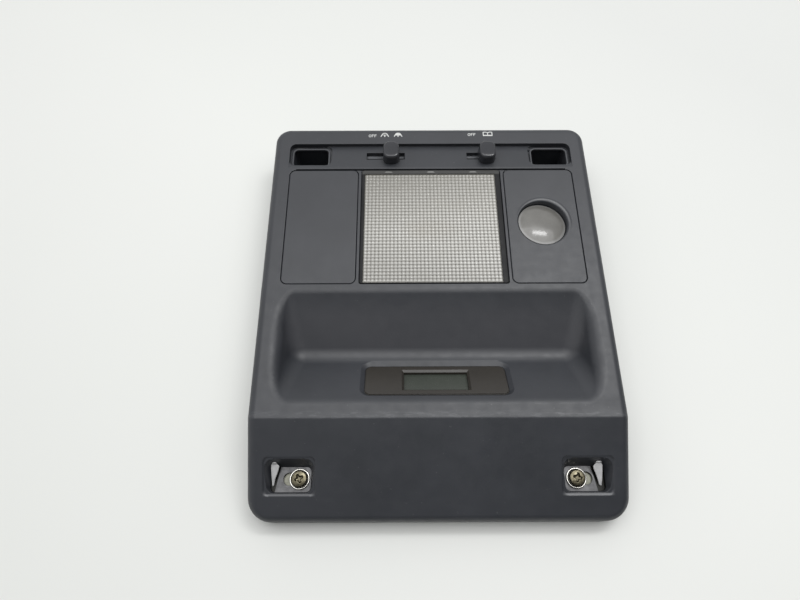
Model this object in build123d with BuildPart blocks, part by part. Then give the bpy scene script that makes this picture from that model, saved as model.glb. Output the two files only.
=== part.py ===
from build123d import *
import math
import os

os.makedirs("parts", exist_ok=True)

# Overall console: X across the car, +Y to the rear, +Z out of the face, Z = 0 on the rim.
width = 204.0
length = 244.0
deck_z = 36.0
wall = 2.5
rear_corner_r = 10.0
front_corner_r = 12.5
edge_r = 5.0
soft_r = 0.5
inner_corner_r = 1.5
half_w = width / 2
half_l = length / 2

# Front slope that falls from the ridge to the windscreen edge.
slope_l = 50.5
ridge_r = 2.5
slope_angle = 22.4
ridge_y = slope_l - half_l
slope_tan = math.tan(math.radians(slope_angle))
slope_cos = math.cos(math.radians(slope_angle))
front_z = deck_z - slope_l * slope_tan

# V-shaped recess behind the ridge: a face towards the rear and a long floor.
recess_side = 13.5
brow_l = 9.0
face_l = 30.5
floor_l = 34.5
recess_depth = 19.0
recess_draft = 20.0
recess_r = 10.0
recess_rise = 2.0
lip_r = 8.0
recess_half_w = half_w - recess_side
brow_y = ridge_y + brow_l
crease_y = brow_y + face_l
recess_rear_y = crease_y + floor_l
crease_z = deck_z - recess_depth
floor_tan = recess_depth / floor_l
face_tan = recess_depth / face_l
face_angle = math.atan(face_tan)

# Lamp windows, with the ledge that carries the lens and the two panels.
bridge_l = 4.1
rear_band = 34.4
panel_side = 11.5
panel_w = 44.5
rib_w = 1.6
panel_t = 2.5
ledge_w = 1.2
pad_t = 5.0
window_corner_r = 4.0
fit_gap = 0.4
lens_half_w = half_w - panel_side - panel_w - rib_w
panel_x = half_w - panel_side - panel_w / 2
window_front_y = recess_rear_y + bridge_l
window_rear_y = half_l - rear_band
window_l = window_rear_y - window_front_y
window_y = (window_rear_y + window_front_y) / 2
pad_z = deck_z - pad_t
seat_z = deck_z - panel_t

# Switch channel and the two slide switches.
channel_side = 10.5
rear_border = 13.7
channel_depth = 2.6
ramp_start = 2.0
groove_w = 0.7
groove_depth = 1.6
switch_rear = 22.6
slot_w = 5.8
slide_gap = 0.3
stem_l = 5.0
dome_slot_x = -29.0
dome_slot_l = 24.8
dome_knob_x = -25.3
map_slot_x = 33.2
map_slot_l = 18.6
map_knob_x = 36.7
knob_l = 10.2
knob_w = 12.0
knob_h = 8.0
knob_shift = -1.2
knob_corner_r = 4.2
knob_edge_r = 1.2
knob_draft = 4.0
slit_w = 2.8
channel_half_w = half_w - channel_side
channel_rear_y = half_l - rear_border
channel_z = deck_z - channel_depth
ramp_y = window_rear_y + ramp_start
ramp_angle = math.atan(channel_depth / (channel_rear_y - ramp_y))
switch_y = half_l - switch_rear

# Rear corner wells for the roof screws, each in a deeper step of the channel.
well_side = 24.2
well_rear = 22.8
well_l = 22.6
well_w = 13.8
well_wall = 1.8
roof_hole_d = 5.5
step_front = 7.7
step_inner = 13.6
step_depth = 3.8
step_corner_r = 4.0
well_x = half_w - well_side
well_y = half_l - well_rear
step_inner_x = well_x - step_inner
step_front_y = well_y - step_front

# Map lamp: the axis leans to the rear and to the driver's side.
map_shift_x = -0.35
map_shift_y = 0.8
map_lens_d = 29.4
map_tilt = 6.5
map_socket_gap = 0.5
map_tube_wall = 1.6
map_rim_drop = 1.9
map_x = panel_x + map_shift_x
map_y = window_y + map_shift_y

# Clock set in the front wall of the recess.
clock_rise = 15.3
clock_w = 80.0
clock_h = 23.0
clock_corner_r = 3.5
clock_set_back = 2.0
clock_flare = 52.0
clock_land = 4.0
bezel_t = 2.0
lcd_w = 36.0
lcd_h = 14.0
clock_case_t = 11.0
clock_y = crease_y - clock_rise

# Front screw pockets with the slotted brackets.
pocket_side = 22.75
pocket_front = 21.25
pocket_l = 21.5
pocket_w = 12.9
pocket_wall = 1.8
pocket_draft = 18.0
pocket_corner_r = 2.5
pocket_lip = 0.9
lip_flare = 50.0
bracket_z = 17.0
bracket_t = 1.5
screw_inner = 4.75
screw_rear = 0.15
screw_d = 5.0
neck_d = 4.4
pocket_x = half_w - pocket_side
pocket_y = pocket_front - half_l
screw_x = pocket_x - screw_inner
screw_y = pocket_y + screw_rear

# Small screws of the inner parts.
small_d = 2.6
small_head_d = 5.0
small_head_h = 1.8
boss_d = 6.6
pilot_gap = 0.1

# Reach of the cutting bodies beyond the moulding.
over = 20.0


def slope_height(y, drop):
    """Height of the front slope at y, lowered by a thickness measured square to it."""
    return deck_z - (ridge_y - y) * slope_tan - drop / slope_cos


# Mouth of the front pockets: where their drafted walls reach the slope.
pocket_tan = math.tan(math.radians(pocket_draft))
mouth_rise = slope_height(0, 0) - bracket_z
mouth_rear = (pocket_y + pocket_w / 2 + pocket_tan * mouth_rise) / (1 - pocket_tan * slope_tan)
mouth_front = (pocket_y - pocket_w / 2 - pocket_tan * mouth_rise) / (1 + pocket_tan * slope_tan)
mouth_y = (mouth_rear + mouth_front) / 2
mouth_w = (mouth_rear - mouth_front) / slope_cos
mouth_l = pocket_l + 2 * pocket_tan * (slope_height(mouth_y, 0) - bracket_z)
mouth_plane = Plane(
    origin=(0, mouth_y, slope_height(mouth_y, pocket_lip)),
    x_dir=(1, 0, 0),
    z_dir=(0, -math.sin(math.radians(slope_angle)), slope_cos),
)


def export(piece, name):
    """Name a finished piece and write it out."""
    piece.label = name
    export_step(piece, f"parts/{name}.step")


# Plan of the console, shared by the outer form and the hollow.
with BuildSketch() as plan:
    Rectangle(width, length)
    fillet(plan.vertices().group_by(Axis.Y)[-1], rear_corner_r)
    fillet(plan.vertices().group_by(Axis.Y)[0], front_corner_r)

# Space of the V recess: a trough with drafted ends, its inner edges rounded alike.
recess_top = deck_z + recess_rise
end_tan = math.tan(math.radians(recess_draft))
end_cos = math.cos(math.radians(recess_draft))
floor_slant = math.hypot(1, floor_tan)
face_slant = math.hypot(1, face_tan)


def trough_side(skin):
    """Corners of the trough seen from the side, with a skin of this thickness round it."""
    low_y = crease_y + skin * (floor_slant - face_slant) / (floor_tan + face_tan)
    low_z = crease_z - skin * floor_slant + (low_y - crease_y) * floor_tan
    return (
        (low_y, low_z),
        (low_y + (recess_top - low_z) / floor_tan, recess_top),
        (low_y - (recess_top - low_z) / face_tan, recess_top),
    )


def trough_end(skin):
    """Corners of the drafted ends seen from the front, with a skin of this thickness."""
    low_z = crease_z - over
    low_x = recess_half_w + skin / end_cos - (deck_z - low_z) * end_tan
    top_x = recess_half_w + skin / end_cos + recess_rise * end_tan
    return ((-low_x, low_z), (low_x, low_z), (top_x, recess_top), (-top_x, recess_top))


with BuildPart() as recess_space:
    with BuildSketch(Plane.YZ):
        with BuildLine():
            Polyline(*trough_side(0), close=True)
        make_face()
    extrude(amount=half_w, both=True)
    with BuildSketch(Plane.XZ):
        with BuildLine():
            Polyline(*trough_end(0), close=True)
        make_face()
    extrude(amount=length, both=True, mode=Mode.INTERSECT)
    fillet(recess_space.edges().filter_by(lambda e: e.center().Z < recess_top - 0.1), recess_r)

# The same space with its moulded wall round it.
with BuildPart() as recess_wall:
    with BuildSketch(Plane.YZ):
        with BuildLine():
            Polyline(*trough_side(wall), close=True)
        make_face()
    extrude(amount=half_w, both=True)
    with BuildSketch(Plane.XZ):
        with BuildLine():
            Polyline(*trough_end(wall), close=True)
        make_face()
    extrude(amount=length, both=True, mode=Mode.INTERSECT)
    fillet(recess_wall.edges().filter_by(lambda e: e.center().Z < recess_top - 0.1), recess_r + wall)

# Outer form of the moulding: block, front slope, rounded ridge and edges, V recess.
with BuildPart() as outer_form:
    add(plan.sketch)
    extrude(amount=deck_z)
    with BuildSketch(Plane.YZ):
        with BuildLine():
            Polyline(
                (ridge_y, deck_z),
                (ridge_y, deck_z + over),
                (-half_l - over, deck_z + over),
                (-half_l - over, slope_height(-half_l - over, 0)),
                close=True,
            )
        make_face()
    extrude(amount=half_w + over, both=True, mode=Mode.SUBTRACT)
    ridge_edge = outer_form.edges().filter_by(Axis.X).sort_by_distance((0, ridge_y, deck_z))[0]
    fillet(ridge_edge, ridge_r)
    top_edges = outer_form.edges().filter_by(Axis.Z, reverse=True)
    top_edges = top_edges.filter_by(lambda e: e.center().Z > front_z - 0.1)
    top_edges = top_edges.filter_by(lambda e: abs(e.center().X) > 1 or abs(e.center().Y) > half_l - 1)
    fillet(top_edges, edge_r)
    add(recess_space.part, mode=Mode.SUBTRACT)
    lip_edges = outer_form.edges().filter_by(lambda e: e.bounding_box().min.Z > deck_z - 0.01)
    lip_edges = lip_edges.filter_by(lambda e: abs(e.center().X) < recess_half_w + 1)
    lip_edges = lip_edges.filter_by(lambda e: brow_y - 1 < e.center().Y < recess_rear_y + 1)
    fillet(lip_edges, lip_r)

# Plane of the clock: on the front wall of the recess, facing the rear of the car.
clock_z = crease_z + (crease_y - clock_y) * face_tan
clock_plane = Plane(
    origin=(0, clock_y, clock_z),
    x_dir=(1, 0, 0),
    z_dir=(0, math.sin(face_angle), math.cos(face_angle)),
)
clock_seat = clock_plane.offset(-clock_set_back)
clock_bezel_w = clock_w + 2 * clock_land
clock_bezel_h = clock_h + clock_land
clock_screw_x = clock_bezel_w / 2 + boss_d / 2 + fit_gap
clock_boss_end = 1.5

# Hollow of the moulding, open at the rim.
with BuildPart() as hollow:
    with BuildSketch():
        offset(plan.sketch, amount=-wall)
    extrude(amount=deck_z - wall)
    with BuildSketch(Plane.YZ):
        with BuildLine():
            Polyline(
                (ridge_y + 1, slope_height(ridge_y + 1, wall)),
                (ridge_y + 1, deck_z + over),
                (-half_l - over, deck_z + over),
                (-half_l - over, slope_height(-half_l - over, wall)),
                close=True,
            )
        make_face()
    extrude(amount=half_w + over, both=True, mode=Mode.SUBTRACT)
    # The deck is thicker under the lamps and the switches.
    with BuildSketch(Plane.XY.offset(pad_z)):
        with Locations((0, (channel_rear_y + window_front_y) / 2)):
            Rectangle(width - 2 * wall, channel_rear_y - window_front_y + 4 * wall)
    extrude(amount=pad_t, mode=Mode.SUBTRACT)
    add(recess_wall.part, mode=Mode.SUBTRACT)
    # Frame round the clock opening and the bosses of its screws.
    with BuildSketch(clock_seat):
        Rectangle(clock_bezel_w, clock_bezel_h)
    extrude(amount=clock_set_back, mode=Mode.SUBTRACT)
    with BuildSketch(clock_seat.offset(-bezel_t)):
        with Locations((-clock_screw_x, 0), (clock_screw_x, 0)):
            Rectangle(boss_d, boss_d)
    extrude(amount=clock_set_back + bezel_t, mode=Mode.SUBTRACT)
    # Walls of the rear wells and skirts of the front pockets.
    with BuildSketch():
        with Locations((-well_x, well_y), (well_x, well_y)):
            Rectangle(well_l + 2 * well_wall, well_w + 2 * well_wall)
    extrude(amount=deck_z, mode=Mode.SUBTRACT)
    with BuildSketch(Plane.XY.offset(bracket_z)):
        with Locations((-pocket_x, pocket_y), (pocket_x, pocket_y)):
            Rectangle(pocket_l + 2 * pocket_wall, pocket_w + 2 * pocket_wall)
    extrude(amount=deck_z - bracket_z, taper=-pocket_draft, mode=Mode.SUBTRACT)

tray_screw_x = lens_half_w + rib_w / 2
tray_screw_y = (window_y - window_l / 3, window_y + window_l / 3)
tray_boss_h = 6.5
tray_ear_z = pad_z - tray_boss_h
bracket_boss_gap = 2.0
bracket_screw_reach = 5.0
bracket_pilot = 4.0
bracket_screw_x = pocket_x - pocket_l / 2 - pocket_wall - boss_d / 2 - bracket_boss_gap
bracket_screw_y = (screw_y - bracket_screw_reach, screw_y + bracket_screw_reach)
switch_body_w = 14.0
switch_body_h = 8.0
switch_pilot = 2.0
switch_ear = 7.0
switch_end_t = 1.5
carriage_l = 9.0


def switch_cavity(slot_l):
    """Length of the space in which the carriage of a switch slides."""
    return slot_l - stem_l + carriage_l + 2 * slide_gap


def switch_body_l(slot_l):
    """Length of a switch body without its screw ears."""
    return switch_cavity(slot_l) + 2 * switch_end_t


def switch_screws(slot_x, slot_l):
    """The two screw positions of a switch body."""
    reach = switch_body_l(slot_l) / 2 + switch_ear / 2
    return ((slot_x - reach, switch_y), (slot_x + reach, switch_y))


# Middle of each step round a rear well.
step_x = (channel_half_w + step_inner_x) / 2
step_y = (channel_rear_y + step_front_y) / 2

# Space of the switch channel: its floor falls to the rear.
with BuildPart() as channel_space:
    with BuildSketch(Plane.YZ):
        with BuildLine():
            Polyline(
                (ramp_y, deck_z),
                (channel_rear_y, channel_z),
                (channel_rear_y, deck_z + 1),
                (ramp_y, deck_z + 1),
                close=True,
            )
        make_face()
    extrude(amount=channel_half_w, both=True)
    fillet(channel_space.edges().filter_by(Axis.Z).group_by(Axis.Y)[-1], window_corner_r)

# Console housing: one charcoal moulding.
with BuildPart() as console_housing:
    add(outer_form.part)
    add(hollow.part, mode=Mode.SUBTRACT)
    # Switch channel, its groove along the lamps and the two slots.
    add(channel_space.part, mode=Mode.SUBTRACT)
    with BuildSketch(Plane.XY.offset(deck_z - groove_depth)):
        with Locations((0, window_rear_y)):
            Rectangle(width - 2 * (panel_side + window_corner_r), 2 * groove_w)
    extrude(amount=groove_depth, mode=Mode.SUBTRACT)
    with BuildSketch(Plane.XY.offset(pad_z)):
        with Locations((dome_slot_x, switch_y)):
            Rectangle(dome_slot_l, slot_w)
        with Locations((map_slot_x, switch_y)):
            Rectangle(map_slot_l, slot_w)
    extrude(amount=pad_t, mode=Mode.SUBTRACT)
    # Deeper step round each rear well.
    with BuildSketch(Plane.XY.offset(deck_z - step_depth)) as steps:
        with Locations((-step_x, step_y), (step_x, step_y)):
            RectangleRounded(channel_half_w - step_inner_x, channel_rear_y - step_front_y, step_corner_r)
    extrude(amount=step_depth, mode=Mode.SUBTRACT)
    # Windows of the lens and the two panels, each with its ledge.
    with BuildSketch(Plane.XY.offset(seat_z)) as seats:
        with Locations((0, window_y)):
            RectangleRounded(2 * lens_half_w, window_l, inner_corner_r)
        with Locations((-panel_x, window_y), (panel_x, window_y)):
            RectangleRounded(panel_w, window_l, window_corner_r)
    extrude(amount=panel_t, mode=Mode.SUBTRACT)
    with BuildSketch(Plane.XY.offset(pad_z)):
        with Locations((0, window_y)):
            Rectangle(2 * (lens_half_w - ledge_w), window_l - 2 * ledge_w)
        with Locations((-panel_x, window_y), (panel_x, window_y)):
            Rectangle(panel_w - 2 * ledge_w, window_l - 2 * ledge_w)
    extrude(amount=pad_t, mode=Mode.SUBTRACT)
    # Rear wells, closed by a floor with the roof screw hole.
    with BuildSketch(Plane.XY.offset(wall)):
        with Locations((-well_x, well_y), (well_x, well_y)):
            RectangleRounded(well_l, well_w, inner_corner_r)
    extrude(amount=deck_z, mode=Mode.SUBTRACT)
    with Locations((-well_x, well_y, wall / 2), (well_x, well_y, wall / 2)):
        Cylinder(roof_hole_d / 2, wall, mode=Mode.SUBTRACT)
    # Front pockets, open down to the brackets.
    with BuildSketch(Plane.XY.offset(bracket_z)):
        with Locations((-pocket_x, pocket_y), (pocket_x, pocket_y)):
            RectangleRounded(pocket_l, pocket_w, pocket_corner_r)
    extrude(amount=deck_z - bracket_z, taper=-pocket_draft, mode=Mode.SUBTRACT)
    with BuildSketch(mouth_plane):
        with Locations((-pocket_x, 0), (pocket_x, 0)):
            RectangleRounded(mouth_l, mouth_w, pocket_corner_r)
    extrude(amount=2 * pocket_lip, taper=-lip_flare, mode=Mode.SUBTRACT)
    # Clock opening through the front wall of the recess.
    with BuildSketch(clock_seat):
        RectangleRounded(clock_w, clock_h, clock_corner_r)
    extrude(amount=clock_set_back + fit_gap, taper=-clock_flare, mode=Mode.SUBTRACT)
    with BuildSketch(clock_seat.offset(-wall)):
        Rectangle(clock_bezel_w + 2 * pilot_gap, clock_bezel_h + 2 * pilot_gap)
    extrude(amount=wall, mode=Mode.SUBTRACT)
    with BuildSketch(clock_seat.offset(-bezel_t)):
        with Locations((-clock_screw_x, 0), (clock_screw_x, 0)):
            Circle(small_d / 2 + pilot_gap)
    extrude(amount=clock_set_back + bezel_t - clock_boss_end, mode=Mode.SUBTRACT)
    # Bosses for the lamp tray, the switches and the brackets.
    with BuildSketch(Plane.XY.offset(tray_ear_z)):
        with Locations(*[(s * tray_screw_x, y) for s in (-1, 1) for y in tray_screw_y]):
            Circle(boss_d / 2)
    extrude(amount=pad_z - tray_ear_z)
    with BuildSketch(Plane.XY.offset(tray_ear_z)):
        with Locations(*[(s * tray_screw_x, y) for s in (-1, 1) for y in tray_screw_y]):
            Circle(small_d / 2 + pilot_gap)
    extrude(amount=pad_z - tray_ear_z, mode=Mode.SUBTRACT)
    with BuildSketch(Plane.XY.offset(bracket_z)):
        with Locations(*[(s * bracket_screw_x, y) for s in (-1, 1) for y in bracket_screw_y]):
            Circle(boss_d / 2)
    extrude(until=Until.NEXT)
    with BuildSketch(Plane.XY.offset(bracket_z)):
        with Locations(*[(s * bracket_screw_x, y) for s in (-1, 1) for y in bracket_screw_y]):
            Circle(small_d / 2 + pilot_gap)
    extrude(amount=bracket_pilot, mode=Mode.SUBTRACT)
    with BuildSketch(Plane.XY.offset(pad_z)):
        with Locations(*switch_screws(dome_slot_x, dome_slot_l), *switch_screws(map_slot_x, map_slot_l)):
            Circle(small_d / 2 + pilot_gap)
    extrude(amount=switch_pilot, mode=Mode.SUBTRACT)
export(console_housing.part, "console_housing")

# Blank cover on the passenger's side: a flush plate with a snap leg at each end.
leg_l = 12.0
leg_t = 1.5
leg_y = (window_l / 2 - ledge_w - slide_gap) - leg_t / 2
barb_h = 1.6
barb_y = leg_y + ledge_w / 2

with BuildPart() as blank_cover:
    with BuildSketch(Plane.XY.offset(seat_z)):
        with Locations((-panel_x, window_y)):
            RectangleRounded(panel_w - 2 * fit_gap, window_l - 2 * fit_gap, window_corner_r - fit_gap)
    extrude(amount=panel_t)
    fillet(blank_cover.edges().group_by(Axis.Z)[-1], soft_r)
    with BuildSketch(Plane.XY.offset(pad_z - slide_gap - barb_h)):
        with Locations((-panel_x, window_y - leg_y), (-panel_x, window_y + leg_y)):
            Rectangle(leg_l, leg_t)
    extrude(amount=seat_z - pad_z + slide_gap + barb_h)
    with BuildSketch(Plane.XY.offset(pad_z - slide_gap - barb_h)):
        with Locations((-panel_x, window_y - barb_y), (-panel_x, window_y + barb_y)):
            Rectangle(leg_l, leg_t)
    extrude(amount=barb_h)
export(blank_cover.part, "blank_cover")

# Map lamp panel: the same plate with a leaning tube that carries the lamp.
map_lean = math.radians(map_tilt)
map_plane = Plane(
    origin=(map_x, map_y, deck_z),
    x_dir=(1, -1, 0),
    z_dir=(math.sin(map_lean) / math.sqrt(2), math.sin(map_lean) / math.sqrt(2), math.cos(map_lean)),
)
map_bore_r = map_lens_d / 2 + map_socket_gap
map_tube_r = map_bore_r + map_tube_wall
map_lens_t = 2.0
map_seat = map_rim_drop + map_lens_t
map_ledge = 2.0
map_depth = 11.0
map_throat_r = map_lens_d / 2 - map_ledge
map_tube_end = map_seat + map_depth

with BuildPart() as map_lamp_panel:
    with BuildSketch(Plane.XY.offset(seat_z)):
        with Locations((panel_x, window_y)):
            RectangleRounded(panel_w - 2 * fit_gap, window_l - 2 * fit_gap, window_corner_r - fit_gap)
    extrude(amount=panel_t)
    fillet(map_lamp_panel.edges().group_by(Axis.Z)[-1], soft_r)
    with BuildSketch(Plane.XY.offset(pad_z - slide_gap - barb_h)):
        with Locations((panel_x, window_y - leg_y), (panel_x, window_y + leg_y)):
            Rectangle(leg_l, leg_t)
    extrude(amount=seat_z - pad_z + slide_gap + barb_h)
    with BuildSketch(Plane.XY.offset(pad_z - slide_gap - barb_h)):
        with Locations((panel_x, window_y - barb_y), (panel_x, window_y + barb_y)):
            Rectangle(leg_l, leg_t)
    extrude(amount=barb_h)
    with BuildSketch(map_plane.offset(-map_tube_end)):
        Circle(map_tube_r)
    extrude(amount=map_tube_end + map_tube_r)
    with BuildSketch(Plane.XY.offset(deck_z)):
        with Locations((map_x, map_y)):
            Rectangle(4 * map_tube_r, 4 * map_tube_r)
    extrude(amount=3 * map_tube_r, mode=Mode.SUBTRACT)
    with BuildSketch(map_plane.offset(-map_seat)):
        Circle(map_bore_r)
    extrude(amount=map_seat + map_tube_r, mode=Mode.SUBTRACT)
    with BuildSketch(map_plane.offset(-map_tube_end)):
        Circle(map_throat_r)
    extrude(amount=map_tube_end, mode=Mode.SUBTRACT)
export(map_lamp_panel.part, "map_lamp_panel")

# Frosted lens of the map lamp: a disc with a domed face, resting on the ledge of the tube.
map_dome_h = 2.6
map_dome_r = ((map_lens_d / 2) ** 2 + map_dome_h**2) / (2 * map_dome_h)

with BuildPart() as map_lens:
    with BuildSketch(map_plane.offset(-map_seat)):
        Circle(map_lens_d / 2)
    extrude(amount=map_lens_t + map_dome_h)
    with Locations(map_plane.offset(map_dome_h - map_rim_drop - map_dome_r)):
        Sphere(map_dome_r, mode=Mode.INTERSECT)
export(map_lens.part, "map_lens")

# Cone reflector behind the map lens.
reflector_t = 0.8
bulb_r = 4.8
map_cone_h = map_tube_end - map_seat - slide_gap
map_cone_top = map_throat_r - slide_gap
bulb_clear = 1.0
map_cone_low = bulb_r + bulb_clear + reflector_t

with BuildPart() as map_reflector:
    with Locations(map_plane.offset(-map_tube_end + map_cone_h / 2)):
        Cone(map_cone_low, map_cone_top, map_cone_h)
        Cone(map_cone_low - reflector_t, map_cone_top - reflector_t, map_cone_h, mode=Mode.SUBTRACT)
export(map_reflector.part, "map_reflector")

# Bulb holder that closes the tube, with its stem for the wires.
holder_t = 3.0
holder_stem_h = 6.0
holder_wall = 2.4

with BuildPart() as map_bulb_holder:
    with BuildSketch(map_plane.offset(-map_tube_end - holder_t)):
        Circle(map_tube_r)
    extrude(amount=holder_t)
    with BuildSketch(map_plane.offset(-map_tube_end - holder_t - holder_stem_h)):
        Circle(bulb_r + holder_wall)
    extrude(amount=holder_stem_h)
export(map_bulb_holder.part, "map_bulb_holder")

# Small wedge bulb of the map lamp.
map_bulb_h = 4.0

with BuildPart() as map_bulb:
    with BuildSketch(map_plane.offset(-map_tube_end)):
        Circle(bulb_r)
    extrude(amount=map_bulb_h)
    with Locations(map_plane.offset(-map_tube_end + map_bulb_h)):
        Sphere(bulb_r)
    with BuildSketch(map_plane.offset(-map_tube_end - 2 * bulb_r)):
        Circle(3 * bulb_r)
    extrude(amount=2 * bulb_r, mode=Mode.SUBTRACT)
export(map_bulb.part, "map_bulb")

# Dome lens: clear rim round a field of long prisms.
lens_rim_x = 3.0
lens_rim_y = 3.1
prism_set = 1.2
prism_rows = 10
prism_w = 2 * (lens_half_w - fit_gap - lens_rim_x)
prism_l = window_l - 2 * (fit_gap + lens_rim_y)
prism_pitch = prism_w / prism_rows
prism_z = deck_z - prism_set
prism_h = 0.9

with BuildPart() as dome_lens:
    with BuildSketch(Plane.XY.offset(seat_z)):
        with Locations((0, window_y)):
            RectangleRounded(2 * (lens_half_w - fit_gap), window_l - 2 * fit_gap, inner_corner_r)
    extrude(amount=panel_t)
    fillet(dome_lens.edges().group_by(Axis.Z)[-1], soft_r)
    with BuildSketch(Plane.XY.offset(deck_z - prism_set)):
        with Locations((0, window_y)):
            Rectangle(prism_w, prism_l)
    extrude(amount=prism_set, mode=Mode.SUBTRACT)
    with BuildSketch(Plane.XZ.offset(-window_y)):
        with Locations(*[((row - (prism_rows - 1) / 2) * prism_pitch, prism_z) for row in range(prism_rows)]):
            Polygon((-prism_pitch / 2, 0), (prism_pitch / 2, 0), (0, prism_h), align=None)
    extrude(amount=prism_l / 2, both=True)
export(dome_lens.part, "dome_lens")

# Lamp tray: white pressed reflector pan hung from four bosses.
tray_t = 1.2
tray_floor_z = 13.0
tray_w = 2 * (tray_screw_x - boss_d / 2 - fit_gap)
tray_l = window_l - 2 * (ledge_w + fit_gap)
ear_w = 7.0
tray_corner_r = 6.0

with BuildPart() as lamp_tray:
    with BuildSketch(Plane.XY.offset(tray_floor_z)):
        with Locations((0, window_y)):
            RectangleRounded(tray_w, tray_l, tray_corner_r)
    extrude(amount=pad_z - tray_floor_z)
    with BuildSketch(Plane.XY.offset(tray_ear_z - tray_t)):
        with Locations(*[(0, y) for y in tray_screw_y]):
            SlotOverall(2 * tray_screw_x + ear_w, ear_w)
    extrude(amount=tray_t)
    with BuildSketch(Plane.XY.offset(tray_floor_z + tray_t)):
        with Locations((0, window_y)):
            RectangleRounded(tray_w - 2 * tray_t, tray_l - 2 * tray_t, tray_corner_r - tray_t)
    extrude(amount=pad_z - tray_floor_z, mode=Mode.SUBTRACT)
    with BuildSketch(Plane.XY.offset(tray_ear_z - tray_t)):
        with Locations(*[(s * tray_screw_x, y) for s in (-1, 1) for y in tray_screw_y]):
            Circle(small_d / 2 + fit_gap)
    extrude(amount=tray_t, mode=Mode.SUBTRACT)
export(lamp_tray.part, "lamp_tray")

# Small pan-head screws of the tray, pushed up from below.
tray_screw_l = 6.0
for side, s in (("left", -1), ("right", 1)):
    for end, y in zip(("front", "rear"), tray_screw_y):
        with BuildPart() as tray_screw:
            with BuildSketch(Plane.XY.offset(tray_ear_z - tray_t - small_head_h)):
                with Locations((s * tray_screw_x, y)):
                    Circle(small_head_d / 2)
            extrude(amount=small_head_h)
            with BuildSketch(Plane.XY.offset(tray_ear_z - tray_t)):
                with Locations((s * tray_screw_x, y)):
                    Circle(small_d / 2)
            extrude(amount=tray_screw_l)
        export(tray_screw.part, f"tray_screw_{side}_{end}")

# Insulating plate on the tray floor and the two spring contacts of the festoon bulb.
plate_t = 1.5
plate_edge = 2.0
bulb_z = 23.0
glass_r = 5.0
glass_l = 26.0
cap_r = 3.5
cap_l = 5.0
tip_r = 1.7
tip_l = 1.6
leaf_t = 0.6
leaf_w = 9.0
leaf_foot = 8.0
leaf_top = 1.0
glass_end = 1.4
leaf_x = glass_l / 2 + cap_l
contact_z = tray_floor_z + tray_t + plate_t

with BuildPart() as contact_plate:
    with BuildSketch(Plane.XY.offset(tray_floor_z + tray_t)):
        with Locations((0, window_y)):
            RectangleRounded(2 * (leaf_x + leaf_foot + plate_edge), leaf_w + 2 * plate_edge, plate_edge)
    extrude(amount=plate_t)
export(contact_plate.part, "contact_plate")

for side, s in (("left", -1), ("right", 1)):
    with BuildPart() as bulb_contact:
        with BuildSketch(Plane.XY.offset(contact_z)):
            with Locations((s * (leaf_x + leaf_foot / 2), window_y)):
                Rectangle(leaf_foot, leaf_w)
        extrude(amount=leaf_t)
        with BuildSketch(Plane.XY.offset(contact_z)):
            with Locations((s * (leaf_x + leaf_t / 2), window_y)):
                Rectangle(leaf_t, leaf_w)
        extrude(amount=bulb_z - contact_z + cap_r + leaf_top)
        with BuildSketch(Plane.YZ):
            with Locations((window_y, bulb_z)):
                Circle(tip_r + pilot_gap)
        extrude(amount=s * (leaf_x + leaf_foot), mode=Mode.SUBTRACT)
    export(bulb_contact.part, f"bulb_contact_{side}")

# Festoon bulb: glass tube with a metal cap at each end.
with BuildPart() as bulb_glass:
    with BuildSketch(Plane.YZ.offset(-glass_l / 2)):
        with Locations((window_y, bulb_z)):
            Circle(glass_r)
    extrude(amount=glass_l)
    chamfer(bulb_glass.edges(), glass_end)
export(bulb_glass.part, "bulb_glass")

for side, s in (("left", -1), ("right", 1)):
    with BuildPart() as bulb_cap:
        with BuildSketch(Plane.YZ.offset(s * glass_l / 2)):
            with Locations((window_y, bulb_z)):
                Circle(cap_r)
        extrude(amount=s * cap_l)
        with BuildSketch(Plane.YZ.offset(s * (glass_l / 2 + cap_l))):
            with Locations((window_y, bulb_z)):
                Circle(tip_r)
        extrude(amount=s * tip_l)
    export(bulb_cap.part, f"bulb_cap_{side}")

# Wiring socket under the tray, open to the rear of the car.
socket_w = 22.0
socket_l = 12.0
socket_h = 8.0
socket_wall = 1.4
socket_y = window_y + window_l / 4

with BuildPart() as wiring_socket:
    with BuildSketch(Plane.XY.offset(tray_floor_z - socket_h)):
        with Locations((0, socket_y)):
            Rectangle(socket_w, socket_l)
    extrude(amount=socket_h)
    with BuildSketch(Plane.XY.offset(tray_floor_z - socket_h + socket_wall)):
        with Locations((0, socket_y + socket_wall)):
            Rectangle(socket_w - 2 * socket_wall, socket_l)
    extrude(amount=socket_h - 2 * socket_wall, mode=Mode.SUBTRACT)
export(wiring_socket.part, "wiring_socket")

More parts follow.
